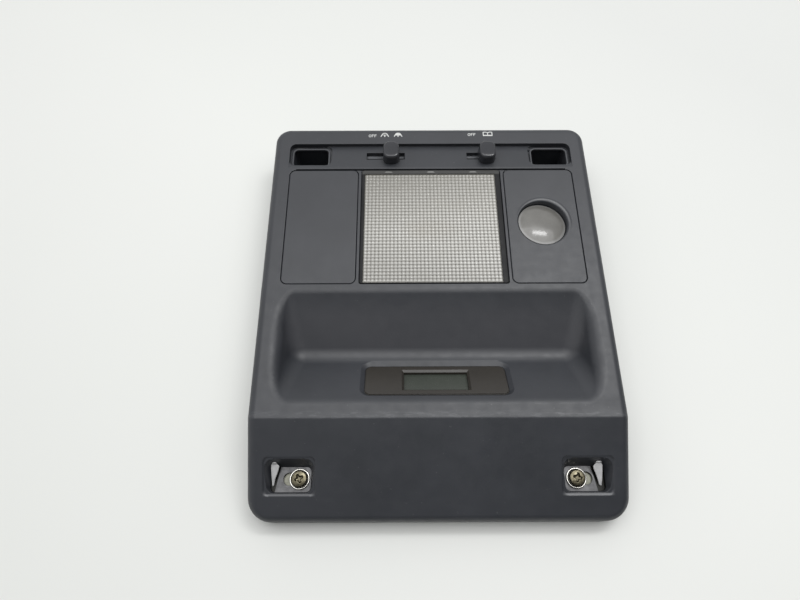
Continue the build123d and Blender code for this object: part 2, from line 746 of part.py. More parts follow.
# Slide switches: covered body under the deck, carriage with its wiper, base, knob over the slot.
carriage_w = 8.0
carriage_h = 4.0
cover_t = 1.0
carriage_z = pad_z - cover_t - slide_gap - carriage_h
stem_depth = 2.5
stem_lap = 1.5
stem_w = slit_w - 2 * slide_gap
stem_z = carriage_z + carriage_h - stem_depth
knob_y = switch_y + knob_shift
knob_z = deck_z - (knob_y - ramp_y) * math.tan(ramp_angle) + slide_gap
wiper_t = 0.5
wiper_edge = 1.0
base_t = 2.0
ear_t = 2.0
for name, slot_x, slot_l, knob_x in (
    ("dome", dome_slot_x, dome_slot_l, dome_knob_x),
    ("map", map_slot_x, map_slot_l, map_knob_x),
):
    with BuildPart() as switch_body:
        with BuildSketch(Plane.XY.offset(pad_z - switch_body_h)):
            with Locations((slot_x, switch_y)):
                Rectangle(switch_body_l(slot_l), switch_body_w)
        extrude(amount=switch_body_h)
        with BuildSketch(Plane.XY.offset(pad_z - ear_t)):
            with Locations((slot_x, switch_y)):
                Rectangle(switch_body_l(slot_l) + 2 * switch_ear, switch_ear)
        extrude(amount=ear_t)
        with BuildSketch(Plane.XY.offset(pad_z - switch_body_h)):
            with Locations((slot_x, switch_y)):
                Rectangle(switch_cavity(slot_l), carriage_w + 2 * slide_gap)
        extrude(amount=switch_body_h - cover_t, mode=Mode.SUBTRACT)
        with BuildSketch(Plane.XY.offset(pad_z - cover_t)):
            with Locations((slot_x, switch_y)):
                Rectangle(slot_l, slit_w)
        extrude(amount=cover_t, mode=Mode.SUBTRACT)
        with BuildSketch(Plane.XY.offset(pad_z - ear_t)):
            with Locations(*switch_screws(slot_x, slot_l)):
                Circle(small_d / 2 + fit_gap)
        extrude(amount=ear_t, mode=Mode.SUBTRACT)
    export(switch_body.part, f"{name}_switch_body")

    with BuildPart() as switch_base:
        with BuildSketch(Plane.XY.offset(pad_z - switch_body_h - base_t)):
            with Locations((slot_x, switch_y)):
                Rectangle(switch_body_l(slot_l), switch_body_w)
        extrude(amount=base_t)
    export(switch_base.part, f"{name}_switch_base")

    for end, (x, y) in zip(("left", "right"), switch_screws(slot_x, slot_l)):
        with BuildPart() as switch_screw:
            with BuildSketch(Plane.XY.offset(pad_z - ear_t - small_head_h)):
                with Locations((x, y)):
                    Circle(small_head_d / 2)
            extrude(amount=small_head_h)
            with BuildSketch(Plane.XY.offset(pad_z - ear_t)):
                with Locations((x, y)):
                    Circle(small_d / 2)
            extrude(amount=ear_t + switch_pilot - pilot_gap)
        export(switch_screw.part, f"{name}_switch_screw_{end}")

    with BuildPart() as switch_carriage:
        with BuildSketch(Plane.XY.offset(carriage_z)):
            with Locations((knob_x, switch_y)):
                Rectangle(carriage_l, carriage_w)
        extrude(amount=carriage_h)
        with BuildSketch(Plane.XY.offset(stem_z)):
            with Locations((knob_x, switch_y)):
                Rectangle(stem_l + 2 * pilot_gap, stem_w + 2 * pilot_gap)
        extrude(amount=stem_depth, mode=Mode.SUBTRACT)
    export(switch_carriage.part, f"{name}_switch_carriage")

    with BuildPart() as switch_wiper:
        with BuildSketch(Plane.XY.offset(carriage_z - wiper_t)):
            with Locations((knob_x, switch_y)):
                Rectangle(carriage_l - 2 * wiper_edge, carriage_w - 2 * wiper_edge)
        extrude(amount=wiper_t)
    export(switch_wiper.part, f"{name}_switch_wiper")

    with BuildPart() as switch_knob:
        knob_plane = Plane(
            origin=(knob_x, knob_y, knob_z),
            x_dir=(1, 0, 0),
            z_dir=(0, math.sin(ramp_angle), math.cos(ramp_angle)),
        )
        with BuildSketch(knob_plane):
            RectangleRounded(knob_l, knob_w, knob_corner_r)
        extrude(amount=knob_h, taper=knob_draft)
        fillet(switch_knob.faces().sort_by(Axis.Z)[-1].edges(), knob_edge_r)
        with BuildSketch(Plane.XY.offset(stem_z)):
            with Locations((knob_x, switch_y)):
                Rectangle(stem_l, stem_w)
        extrude(amount=knob_z - stem_z + stem_lap)
    export(switch_knob.part, f"{name}_switch_knob")

# Clock: smoked bezel in the opening, display, circuit board and the case behind them.
bezel_rise = 0.6
lcd_set = 1.0
lcd_t = 1.4
lcd_edge_x = 2.5
lcd_edge_y = 2.0
board_t = 1.6
board_edge = 1.0
case_t = 1.5

with BuildPart() as clock_bezel:
    with BuildSketch(clock_seat.offset(-bezel_t)):
        Rectangle(clock_bezel_w, clock_bezel_h)
    extrude(amount=bezel_t)
    with BuildSketch(clock_seat):
        RectangleRounded(clock_w - 2 * fit_gap, clock_h - 2 * fit_gap, clock_corner_r - fit_gap)
    extrude(amount=bezel_rise)
    with BuildSketch(clock_seat.offset(-bezel_t)):
        Rectangle(lcd_w, lcd_h)
    extrude(amount=bezel_t + bezel_rise, mode=Mode.SUBTRACT)
    with BuildSketch(clock_seat.offset(bezel_rise - lcd_set)):
        Rectangle(lcd_w, lcd_h)
    extrude(amount=lcd_set, taper=-clock_flare, mode=Mode.SUBTRACT)
export(clock_bezel.part, "clock_bezel")

with BuildPart() as clock_lcd:
    with BuildSketch(clock_seat.offset(-bezel_t - lcd_t)):
        Rectangle(lcd_w + 2 * lcd_edge_x, lcd_h + 2 * lcd_edge_y)
    extrude(amount=lcd_t)
export(clock_lcd.part, "clock_lcd")

with BuildPart() as clock_board:
    with BuildSketch(clock_seat.offset(-bezel_t - lcd_t - board_t)):
        Rectangle(clock_w, clock_h - 2 * board_edge)
    extrude(amount=board_t)
export(clock_board.part, "clock_board")

with BuildPart() as clock_case:
    with BuildSketch(clock_seat.offset(-bezel_t - clock_case_t)):
        Rectangle(clock_bezel_w, clock_bezel_h)
    extrude(amount=clock_case_t)
    with BuildSketch(clock_seat.offset(-bezel_t - ear_t)):
        Rectangle(2 * clock_screw_x + boss_d, boss_d)
    extrude(amount=ear_t)
    with BuildSketch(clock_seat.offset(-bezel_t - clock_case_t + case_t)):
        Rectangle(clock_bezel_w - 2 * case_t, clock_bezel_h - 2 * case_t)
    extrude(amount=clock_case_t, mode=Mode.SUBTRACT)
    with BuildSketch(clock_seat.offset(-bezel_t - ear_t)):
        with Locations((-clock_screw_x, 0), (clock_screw_x, 0)):
            Circle(small_d / 2 + fit_gap)
    extrude(amount=ear_t, mode=Mode.SUBTRACT)
export(clock_case.part, "clock_case")

for side, s in (("left", -1), ("right", 1)):
    with BuildPart() as clock_screw:
        with BuildSketch(clock_seat.offset(-bezel_t - ear_t - small_head_h)):
            with Locations((s * clock_screw_x, 0)):
                Circle(small_head_d / 2)
        extrude(amount=small_head_h)
        with BuildSketch(clock_seat.offset(-bezel_t - ear_t)):
            with Locations((s * clock_screw_x, 0)):
                Circle(small_d / 2)
        extrude(amount=ear_t + clock_set_back)
    export(clock_screw.part, f"clock_screw_{side}")

# Front fixings: slotted bracket under each pocket, bright nut plate below it, screw and washer.
bracket_lap = 2.0
bracket_end = 1.0
bracket_front = pocket_y - pocket_w / 2 - bracket_lap
bracket_rear = pocket_y + pocket_w / 2 + bracket_lap
bracket_inner = bracket_screw_x - boss_d / 2 - bracket_end
slant_front = 8.8
slant_rear = 5.6
slot_inner = 5.0
slot_outer = 8.9
slot_start = screw_x - slot_inner
slot_end = screw_x + slot_outer
slot_h = 6.5
nut_t = 1.5
nut_shift = 2.0
washer_d = 11.0
washer_t = 1.2
head_d = 8.6
head_h = 3.2
head_edge_r = 1.6
cross_l = 5.2
cross_w = 1.3
cross_depth = 2.0
tip_z = 1.0
for side, s in (("left", -1), ("right", 1)):
    with BuildPart() as bracket:
        with BuildSketch(Plane.XY.offset(bracket_z - bracket_t)):
            with BuildLine():
                Polyline(
                    (s * bracket_inner, bracket_front),
                    (s * (pocket_x + slant_front), bracket_front),
                    (s * (pocket_x + slant_rear), bracket_rear),
                    (s * bracket_inner, bracket_rear),
                    close=True,
                )
            make_face()
            with Locations((s * (slot_start + slot_end) / 2, screw_y)):
                SlotOverall(slot_end - slot_start, slot_h, mode=Mode.SUBTRACT)
            with Locations(*[(s * bracket_screw_x, y) for y in bracket_screw_y]):
                Circle(small_d / 2 + fit_gap, mode=Mode.SUBTRACT)
        extrude(amount=bracket_t)
    export(bracket.part, f"bracket_{side}")

    for end, y in zip(("front", "rear"), bracket_screw_y):
        with BuildPart() as bracket_screw:
            with BuildSketch(Plane.XY.offset(bracket_z - bracket_t - small_head_h)):
                with Locations((s * bracket_screw_x, y)):
                    Circle(small_head_d / 2)
            extrude(amount=small_head_h)
            with BuildSketch(Plane.XY.offset(bracket_z - bracket_t)):
                with Locations((s * bracket_screw_x, y)):
                    Circle(small_d / 2)
            extrude(amount=bracket_t + bracket_pilot - slide_gap)
        export(bracket_screw.part, f"bracket_screw_{side}_{end}")

    with BuildPart() as nut_plate:
        with BuildSketch(Plane.XY.offset(bracket_z - bracket_t - nut_t)):
            with Locations((s * (pocket_x + nut_shift), pocket_y)):
                Rectangle(pocket_l, pocket_w)
            with Locations((s * screw_x, screw_y)):
                Circle(neck_d / 2 + pilot_gap, mode=Mode.SUBTRACT)
        extrude(amount=nut_t)
    export(nut_plate.part, f"nut_plate_{side}")

    with BuildPart() as roof_washer:
        with BuildSketch(Plane.XY.offset(bracket_z)):
            with Locations((s * screw_x, screw_y)):
                Circle(washer_d / 2)
                Circle(screw_d / 2 + slide_gap, mode=Mode.SUBTRACT)
        extrude(amount=washer_t)
    export(roof_washer.part, f"roof_washer_{side}")

    with BuildPart() as roof_screw:
        with BuildSketch(Plane.XY.offset(bracket_z + washer_t)):
            with Locations((s * screw_x, screw_y)):
                Circle(head_d / 2)
        extrude(amount=head_h)
        fillet(roof_screw.edges().group_by(Axis.Z)[-1], head_edge_r)
        with BuildSketch(Plane.XY.offset(bracket_z + washer_t + head_h - cross_depth)):
            with Locations((s * screw_x, screw_y)):
                Rectangle(cross_l, cross_w)
                Rectangle(cross_w, cross_l)
        extrude(amount=cross_depth, mode=Mode.SUBTRACT)
        with BuildSketch(Plane.XY.offset(bracket_z - bracket_t - nut_t)):
            with Locations((s * screw_x, screw_y)):
                Circle(neck_d / 2)
        extrude(amount=nut_t + bracket_t + washer_t)
        with BuildSketch(Plane.XY.offset(tip_z)):
            with Locations((s * screw_x, screw_y)):
                Circle(screw_d / 2)
        extrude(amount=bracket_z - bracket_t - nut_t - tip_z)
    export(roof_screw.part, f"roof_screw_{side}")
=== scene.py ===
from math import cos, pi, radians, sin, sqrt

import bmesh
import bpy
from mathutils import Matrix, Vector


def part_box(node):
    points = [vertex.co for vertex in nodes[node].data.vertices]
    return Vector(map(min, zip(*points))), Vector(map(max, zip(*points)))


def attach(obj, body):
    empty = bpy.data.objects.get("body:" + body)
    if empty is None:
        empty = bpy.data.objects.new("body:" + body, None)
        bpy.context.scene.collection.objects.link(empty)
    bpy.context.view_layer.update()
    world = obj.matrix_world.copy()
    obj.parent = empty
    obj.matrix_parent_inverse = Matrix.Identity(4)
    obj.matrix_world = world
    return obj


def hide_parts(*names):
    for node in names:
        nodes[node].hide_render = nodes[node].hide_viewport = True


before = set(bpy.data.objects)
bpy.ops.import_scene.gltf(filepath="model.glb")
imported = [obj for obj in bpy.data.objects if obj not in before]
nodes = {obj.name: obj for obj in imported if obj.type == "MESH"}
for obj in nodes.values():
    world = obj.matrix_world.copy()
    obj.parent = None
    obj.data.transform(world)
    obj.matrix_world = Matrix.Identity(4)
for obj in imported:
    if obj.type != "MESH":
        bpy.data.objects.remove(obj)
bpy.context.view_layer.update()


# Console housing. One charcoal moulding carries the deck, the switch channel, the trough for the
# clock and the sloping front. Its edges come off the tool slightly round and its face has a fine
# spark-eroded grain. It is rubbed a little lighter along the ridge before the clock, under a painted
# highlight there; the front lips of the pockets carry a painted highlight, and the trough floor is
# painted lighter.
def new_finish(name):
    """A surface finish to fill in: the material, its nodes, its shader and the place on the part."""
    finish = bpy.data.materials.new(name)
    finish.use_nodes = True
    tree = finish.node_tree
    shader = tree.nodes["Principled BSDF"]
    place = tree.nodes.new("ShaderNodeTexCoord").outputs["Object"]
    return finish, tree, shader, place


def parted(tree, place):
    """The place on the part as its X, Y and Z."""
    apart = tree.nodes.new("ShaderNodeSeparateXYZ")
    tree.links.new(place, apart.inputs["Vector"])
    return apart.outputs["X"], apart.outputs["Y"], apart.outputs["Z"]


def speckle(tree, place, size, detail=3.0, rough=0.5):
    """Cloudy variation with spots of about this size in metres."""
    cloud = tree.nodes.new("ShaderNodeTexNoise")
    cloud.inputs["Scale"].default_value = 1.0 / size
    cloud.inputs["Detail"].default_value = detail
    cloud.inputs["Roughness"].default_value = rough
    tree.links.new(place, cloud.inputs["Vector"])
    return cloud.outputs["Fac"]


def graded(tree, factor, *stops):
    """Colour that runs through the stops (place, colour) as the factor goes from 0 to 1."""
    ramp = tree.nodes.new("ShaderNodeValToRGB")
    band = ramp.color_ramp
    while len(band.elements) < len(stops):
        band.elements.new(0.5)
    for mark, (at, colour) in zip(band.elements, stops):
        mark.position = at
        mark.color = (*colour, 1.0)
    tree.links.new(factor, ramp.inputs["Fac"])
    return ramp.outputs["Color"]


def clouded(tree, shader, place, spot, detail, dark, light, rough=0.5):
    """Base colour that drifts from dark to light in spots of this size in metres."""
    colour = graded(tree, speckle(tree, place, spot, detail, rough), (0.3, dark), (0.7, light))
    tree.links.new(colour, shader.inputs["Base Color"])
    return colour


def spread(tree, factor, low, high, start=0.3, stop=0.7):
    """Number that runs from low to high as the factor goes from start to stop."""
    span = tree.nodes.new("ShaderNodeMapRange")
    span.inputs["From Min"].default_value = start
    span.inputs["From Max"].default_value = stop
    span.inputs["To Min"].default_value = low
    span.inputs["To Max"].default_value = high
    tree.links.new(factor, span.inputs["Value"])
    return span.outputs["Result"]


def uneven_sheen(tree, shader, place, spot, low, high):
    """Roughness that drifts from low to high in spots of this size in metres."""
    tree.links.new(spread(tree, speckle(tree, place, spot), low, high), shader.inputs["Roughness"])


def raised(tree, shader, height, depth):
    """Fine relief of this depth in metres on the shader, with the edges slightly rounded."""
    edge_radius = 0.0004
    rounding = tree.nodes.new("ShaderNodeBevel")
    rounding.samples = 8
    rounding.inputs["Radius"].default_value = edge_radius
    relief = tree.nodes.new("ShaderNodeBump")
    relief.inputs["Strength"].default_value = 1.0
    relief.inputs["Distance"].default_value = depth
    tree.links.new(rounding.outputs["Normal"], relief.inputs["Normal"])
    tree.links.new(height, relief.inputs["Height"])
    tree.links.new(relief.outputs["Normal"], shader.inputs["Normal"])


def worked(tree, kind, *values):
    """Result of an arithmetic step on numbers or node outputs."""
    step = tree.nodes.new("ShaderNodeMath")
    step.operation = kind
    for socket, value in zip(step.inputs, values):
        if isinstance(value, (int, float)):
            socket.default_value = value
        else:
            tree.links.new(value, socket)
    return step.outputs["Value"]


def together(tree, first, *others):
    """Product of the factors: it is 1 only where all of them are."""
    for other in others:
        first = worked(tree, "MULTIPLY", first, other)
    return first


def stripe(tree, value, middle, reach):
    """Factor that is 1 where the value is at the middle and falls to 0 at this reach from it."""
    off = worked(tree, "ABSOLUTE", worked(tree, "SUBTRACT", value, middle))
    inside = worked(tree, "SUBTRACT", 1.0, worked(tree, "DIVIDE", off, reach))
    return worked(tree, "MAXIMUM", inside, 0.0)


def painted_over(tree, factor, below, above):
    """Colour above laid over the colour below where the factor says so."""
    coat = tree.nodes.new("ShaderNodeMix")
    coat.data_type = "RGBA"
    tree.links.new(factor, coat.inputs["Factor"])
    for socket, colour in ((coat.inputs["A"], below), (coat.inputs["B"], above)):
        if isinstance(colour, tuple):
            socket.default_value = (*colour, 1.0)
        else:
            tree.links.new(colour, socket)
    return coat.outputs["Result"]


def smooth_copy(node, name):
    """The solid's form as the tool leaves it: its rounded corners run smoothly into the flats."""
    weld_gap = 2e-6
    flat_angle, crease_angle = radians(0.2), radians(18)
    body = bmesh.new()
    body.from_mesh(nodes[node].data)
    bmesh.ops.remove_doubles(body, verts=body.verts, dist=weld_gap)
    bmesh.ops.dissolve_limit(body, angle_limit=flat_angle, verts=body.verts, edges=body.edges)
    for face in body.faces:
        face.smooth = True
    mesh = bpy.data.meshes.new(name)
    body.to_mesh(mesh)
    body.free()
    mesh.set_sharp_from_angle(angle=crease_angle)
    piece = bpy.data.objects.new(name, mesh)
    bpy.context.scene.collection.objects.link(piece)
    weight = piece.modifiers.new("even_shading", "WEIGHTED_NORMAL")
    weight.keep_sharp = True
    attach(piece, "console")
    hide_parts(node)
    return piece


def moulded(name, dark, light, rough_low, rough_high, grain=0.00035, depth=0.000018):
    """Grained plastic: faintly clouded colour, uneven sheen and a fine eroded texture."""
    cloud_spot, sheen_spot = 0.03, 0.006
    finish, tree, shader, place = new_finish(name)
    colour = clouded(tree, shader, place, cloud_spot, 4.0, dark, light)
    uneven_sheen(tree, shader, place, sheen_spot, rough_low, rough_high)
    raised(tree, shader, speckle(tree, place, grain, 2.0), depth)
    return finish, tree, shader, place, colour


charcoal_dark = (0.0235, 0.0258, 0.0308)
charcoal_light = (0.03, 0.0325, 0.0385)
charcoal, tree, shader, place, colour = moulded(
    "charcoal_moulding", charcoal_dark, charcoal_light, 0.4, 0.5
)
shader.inputs["IOR"].default_value = 1.5
across, along, up = parted(tree, place)
off_centre = worked(tree, "ABSOLUTE", across)

# Pale streaks along the ridge, where hands rub it, over a painted highlight along the ridge.
ridge_y, ridge_reach = -0.0698, 0.0026
ridge_foot, ridge_full = 0.027, 0.03
rub_and_highlight_grey, rub_and_highlight_strength = (0.2, 0.205, 0.215), 0.42
streaks = tree.nodes.new("ShaderNodeMapping")
streaks.inputs["Scale"].default_value = (1.0, 5.0, 5.0)
tree.links.new(place, streaks.inputs["Vector"])
rubs_and_highlight = spread(tree, speckle(tree, streaks.outputs["Vector"], 0.007, 5.0, 0.65), 0.12, 1.0, 0.5, 0.72)
on_ridge = stripe(tree, along, ridge_y, ridge_reach)
high_up = spread(tree, up, 0.0, 1.0, ridge_foot, ridge_full)
colour = painted_over(tree, together(tree, on_ridge, rubs_and_highlight, high_up, rub_and_highlight_strength), colour, rub_and_highlight_grey)

# Single specks of dust.
speck_size, speck_grey = 0.0016, (0.14, 0.14, 0.145)
specks = spread(tree, speckle(tree, place, speck_size, 1.0), 0.0, 0.25, 0.75, 0.8)
colour = painted_over(tree, specks, colour, speck_grey)

# Painted highlight along the front lip of the two pockets.
lip_y, lip_reach = -0.109, 0.0009
pocket_x, lip_full, lip_end = 0.0793, 0.0118, 0.0142
lip_highlight_grey = (0.125, 0.128, 0.136)
off_pocket = worked(tree, "ABSOLUTE", worked(tree, "SUBTRACT", off_centre, pocket_x))
lip_length = spread(tree, off_pocket, 1.0, 0.0, lip_full, lip_end)
painted_lip_highlight = together(tree, stripe(tree, along, lip_y, lip_reach), lip_length)
colour = painted_over(tree, painted_lip_highlight, colour, lip_highlight_grey)

# The floor of the trough is painted lighter, in patches.
trough_height, trough_side = (0.0285, 0.0345), (0.091, 0.094)
trough_front, trough_rear = (-0.034, -0.026), (0.003, 0.006)
patch_size, floor_grey = 0.02, (0.046, 0.047, 0.053)
lighter_floor = together(
    tree,
    spread(tree, up, 1.0, 0.0, *trough_height),
    spread(tree, along, 0.0, 1.0, *trough_front),
    spread(tree, along, 1.0, 0.0, *trough_rear),
    spread(tree, off_centre, 1.0, 0.0, *trough_side),
    spread(tree, speckle(tree, place, patch_size, 4.0), 0.6, 0.85),
)
colour = painted_over(tree, lighter_floor, colour, floor_grey)
tree.links.new(colour, shader.inputs["Base Color"])

shell = smooth_copy("console_housing", "console_shell")
shell.data.materials.append(charcoal)


# Well collars. A low collar of the same charcoal plastic stands round the mouth of each rear well,
# where the screw for the roof goes in; its corners are round, and it is painted a little lighter
# than the housing, as painted light on its top.
def round_corners(left, right, front, rear, corner, turns=6):
    """Points of a rectangle with round corners, anticlockwise."""
    points = []
    for x, y, in_x, in_y, start in (
        (right, rear, -1, -1, 0),
        (left, rear, 1, -1, 90),
        (left, front, 1, 1, 180),
        (right, front, -1, 1, 270),
    ):
        for k in range(turns + 1):
            a = radians(start + 90 * k / turns)
            points.append((x + in_x * corner + corner * cos(a), y + in_y * corner + corner * sin(a)))
    return points


def walled(body, loops, closed=False):
    """Walls from each loop to the next, and from the last back to the first where closed."""
    following = loops[1:] + loops[:1] if closed else loops[1:]
    walls = []
    for below, above in zip(loops, following):
        for k in range(len(below)):
            n = (k + 1) % len(below)
            walls.append(body.faces.new((below[k], below[n], above[n], above[k])))
    return walls


def finished(body, name, finish, rides, slot, *replaced, turn=30):
    """Turn the built form into a piece of the part with its finish and its place in the motion."""
    bmesh.ops.recalc_face_normals(body, faces=body.faces)
    for face in body.faces:
        face.smooth = True
    mesh = bpy.data.meshes.new(name)
    body.to_mesh(mesh)
    body.free()
    mesh.set_sharp_from_angle(angle=radians(turn))
    mesh.materials.append(finish)
    piece = bpy.data.objects.new(name, mesh)
    bpy.context.scene.collection.objects.link(piece)
    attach(piece, rides)
    if replaced:
        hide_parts(*replaced)
    return piece


# The collar is painted lighter than the housing, as painted light on it.
collar_painted_lighter = moulded("collar_moulding_painted_lighter", (0.036, 0.038, 0.044), (0.046, 0.049, 0.055), 0.4, 0.5)[0]
well_x = 0.0778
collar_half, collar_front, collar_rear, collar_corner = 0.0124, 0.0916, 0.1066, 0.0036
mouth_half, mouth_front, mouth_rear, mouth_corner = 0.0112, 0.0924, 0.1054, 0.0026
collar_foot, collar_top = 0.0322, 0.0336
edge_drop, bevel_drop = 0.0003, 0.0001
# Each step is the share of the way from the outer wall to the inner one, and a height.
collar_section = (
    (0, collar_foot),
    (0, collar_top - edge_drop),
    (0.08, collar_top - bevel_drop),
    (0.25, collar_top),
    (0.75, collar_top),
    (0.92, collar_top - bevel_drop),
    (1, collar_top - edge_drop),
    (1, collar_foot),
)
for side, middle in (("left", -well_x), ("right", well_x)):
    outer = round_corners(
        middle - collar_half, middle + collar_half, collar_front, collar_rear, collar_corner
    )
    inner = round_corners(middle - mouth_half, middle + mouth_half, mouth_front, mouth_rear, mouth_corner)
    collar = bmesh.new()
    loops = []
    for share, z in collar_section:
        loop = []
        for (outer_x, outer_y), (inner_x, inner_y) in zip(outer, inner):
            x = outer_x + (inner_x - outer_x) * share
            y = outer_y + (inner_y - outer_y) * share
            loop.append(collar.verts.new((x, y, z)))
        loops.append(loop)
    walled(collar, loops, closed=True)
    finished(collar, f"well_collar_{side}", collar_painted_lighter, "console", "housing_plastic")


# Clock. A smoked window strip sits in the front wall of the trough, with the display glass behind
# its cut-out; the board and the black case are screwed on from behind.
def dress(finish, *names):
    """Give CAD pieces this finish."""
    for name in names:
        nodes[name].data.materials.clear()
        nodes[name].data.materials.append(finish)


smoked, tree, shader = moulded(
    "smoked_window", (0.016, 0.0135, 0.0105), (0.02, 0.017, 0.013), 0.34, 0.44, 0.0006, 0.000004
)[:3]
shader.inputs["Coat Weight"].default_value = 0.2
shader.inputs["Coat Roughness"].default_value = 0.2
dress(smoked, "clock_bezel")

display, tree, shader, place = new_finish("unlit_display")
clouded(tree, shader, place, 0.02, 2.0, (0.032, 0.038, 0.031), (0.04, 0.046, 0.038))
uneven_sheen(tree, shader, place, 0.004, 0.2, 0.3)
dress(display, "clock_lcd")

black_plastic = moulded("black_moulding", (0.006, 0.006, 0.0065), (0.01, 0.01, 0.011), 0.45, 0.6)[0]
dress(black_plastic, "clock_case")

board_green = moulded(
    "green_board", (0.01, 0.05, 0.02), (0.015, 0.07, 0.03), 0.3, 0.45, 0.0012, 0.00002
)[0]
dress(board_green, "clock_board")


# Small screws. Zinc-plated pan heads hold the clock, the switches, the lamp tray and the brackets
# from behind; the plating is bright and faintly clouded.
def plated(name, low, high, rough_low, rough_high, spot=0.0012, depth=0.000006):
    """Plated steel with cloudy plating and fine scratches."""
    sheen_share, scratch_share = 0.6, 0.3
    finish, tree, shader, place = new_finish(name)
    shader.inputs["Metallic"].default_value = 1.0
    tint = clouded(tree, shader, place, spot, 4.0, low, high, 0.6)
    uneven_sheen(tree, shader, place, spot * sheen_share, rough_low, rough_high)
    raised(tree, shader, speckle(tree, place, spot * scratch_share), depth)
    return finish, tree, shader, place, tint


screw_zinc = plated("zinc_screw", (0.45, 0.45, 0.46), (0.62, 0.62, 0.62), 0.25, 0.4)[0]
small_screws = ["clock_screw_left", "clock_screw_right"]
for side in ("left", "right"):
    small_screws += [f"dome_switch_screw_{side}", f"map_switch_screw_{side}"]
    for end in ("front", "rear"):
        small_screws += [f"tray_screw_{side}_{end}", f"bracket_screw_{side}_{end}"]
dress(screw_zinc, *small_screws)


# Slide switches. Each is a grey body under the deck with a nylon carriage, a brass wiper and a brown
# fibre base. A satin knob snaps into the carriage through the slot, and a strip on the body fills
# the slot behind the knob's stem.
def stacked(body, rings):
    """Walls between rings of points, with a lid and a floor."""
    loops = [[body.verts.new(point) for point in ring] for ring in rings]
    walled(body, loops)
    body.faces.new(list(reversed(loops[0])))
    body.faces.new(loops[-1])


def slab(body, outline, low, high):
    """Plate of this outline between two heights."""
    stacked(body, [[(x, y, z) for x, y in outline] for z in (low, high)])


fibre = moulded("fibre_board", (0.05, 0.026, 0.012), (0.08, 0.042, 0.02), 0.55, 0.7, 0.0007, 0.00003)[0]
dress(fibre, "dome_switch_base", "map_switch_base")
nylon = moulded("natural_nylon", (0.5, 0.48, 0.43), (0.58, 0.56, 0.5), 0.4, 0.5, 0.0008, 0.000006)[0]
dress(nylon, "dome_switch_carriage", "map_switch_carriage")
brass = plated("spring_brass", (0.5, 0.34, 0.11), (0.66, 0.47, 0.18), 0.25, 0.4)[0]
dress(brass, "dome_switch_wiper", "map_switch_wiper")

knob_satin = moulded(
    "satin_knob", (0.024, 0.0255, 0.03), (0.029, 0.0305, 0.0355), 0.15, 0.2, 0.0005, 0.000003
)[0]
knob_top, knob_edge = 0.0426, 0.0014
knob_half, knob_lap = 0.0055, 0.0014
knob_corner, corner_share = 0.0043, 0.8
foot_inset = 0.0004
ramp_y, ramp_z, ramp_fall = 0.0982, 0.03509, 0.1376
crown = ((0.8, 0.00006), (0.5, 0.00012), (0.2, 0.00015))
stem_half, stem_front, stem_rear, stem_top, stem_corner = 0.0025, 0.0983, 0.0998, 0.0362, 0.0001
shoulder = knob_top - knob_edge
levels = [(0.0, 0.0, 0.0), (foot_inset, 1.0, 0.0)]
for k in range(1, 7):
    turn = radians(15 * k)
    levels.append((foot_inset + knob_edge * (1 - cos(turn)), 1.0, knob_edge * sin(turn)))
for name in ("dome", "map"):
    knob_lo, knob_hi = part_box(f"{name}_switch_knob")
    middle = (knob_lo.x + knob_hi.x) / 2
    front, rear = knob_lo.y, knob_hi.y + knob_lap
    rings = []
    for inset, share, rise in levels:
        left, right = middle - knob_half + inset, middle + knob_half - inset
        corner = knob_corner - corner_share * inset
        ring = []
        for x, y in round_corners(left, right, front + inset, rear - inset, corner, 10):
            foot = ramp_z - ramp_fall * (y - ramp_y)
            ring.append((x, y, foot + (shoulder - foot) * share + rise))
        rings.append(ring)
    centre_y = (front + rear) / 2
    rim = rings[-1]
    for share, rise in crown:
        ring = []
        for x, y, z in rim:
            ring.append((middle + (x - middle) * share, centre_y + (y - centre_y) * share, knob_top + rise))
        rings.append(ring)
    knob = bmesh.new()
    stacked(knob, rings)
    stem = round_corners(middle - stem_half, middle + stem_half, stem_front, stem_rear, stem_corner, 1)
    slab(knob, stem, knob_lo.z, stem_top)
    finished(knob, f"{name}_slide_cap", knob_satin, f"{name}_slider", "knob_plastic", f"{name}_switch_knob")

# The switch bodies and the strips in the slots are painted a light grey, as painted light on the slot
# floors, which lie in shade.
slot_floor_painted_light = moulded("switch_body_painted_light", (0.085, 0.09, 0.1), (0.105, 0.11, 0.12), 0.4, 0.5)[0]
dress(slot_floor_painted_light, "dome_switch_body", "map_switch_body")
strip_front, strip_rear, strip_thick = 0.09995, 0.1022, 0.0003
strip_play, strip_corner = 0.0001, 0.0001
for name, slot_x, slot_l in (("dome", -0.029, 0.0248), ("map", 0.0332, 0.0186)):
    cover_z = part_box(f"{name}_switch_body")[1].z
    half = slot_l / 2 - strip_play
    strip = bmesh.new()
    outline = round_corners(slot_x - half, slot_x + half, strip_front, strip_rear, strip_corner, 1)
    slab(strip, outline, cover_z, cover_z + strip_thick)
    finished(strip, f"{name}_slot_lip", slot_floor_painted_light, "console", "black_plastic")


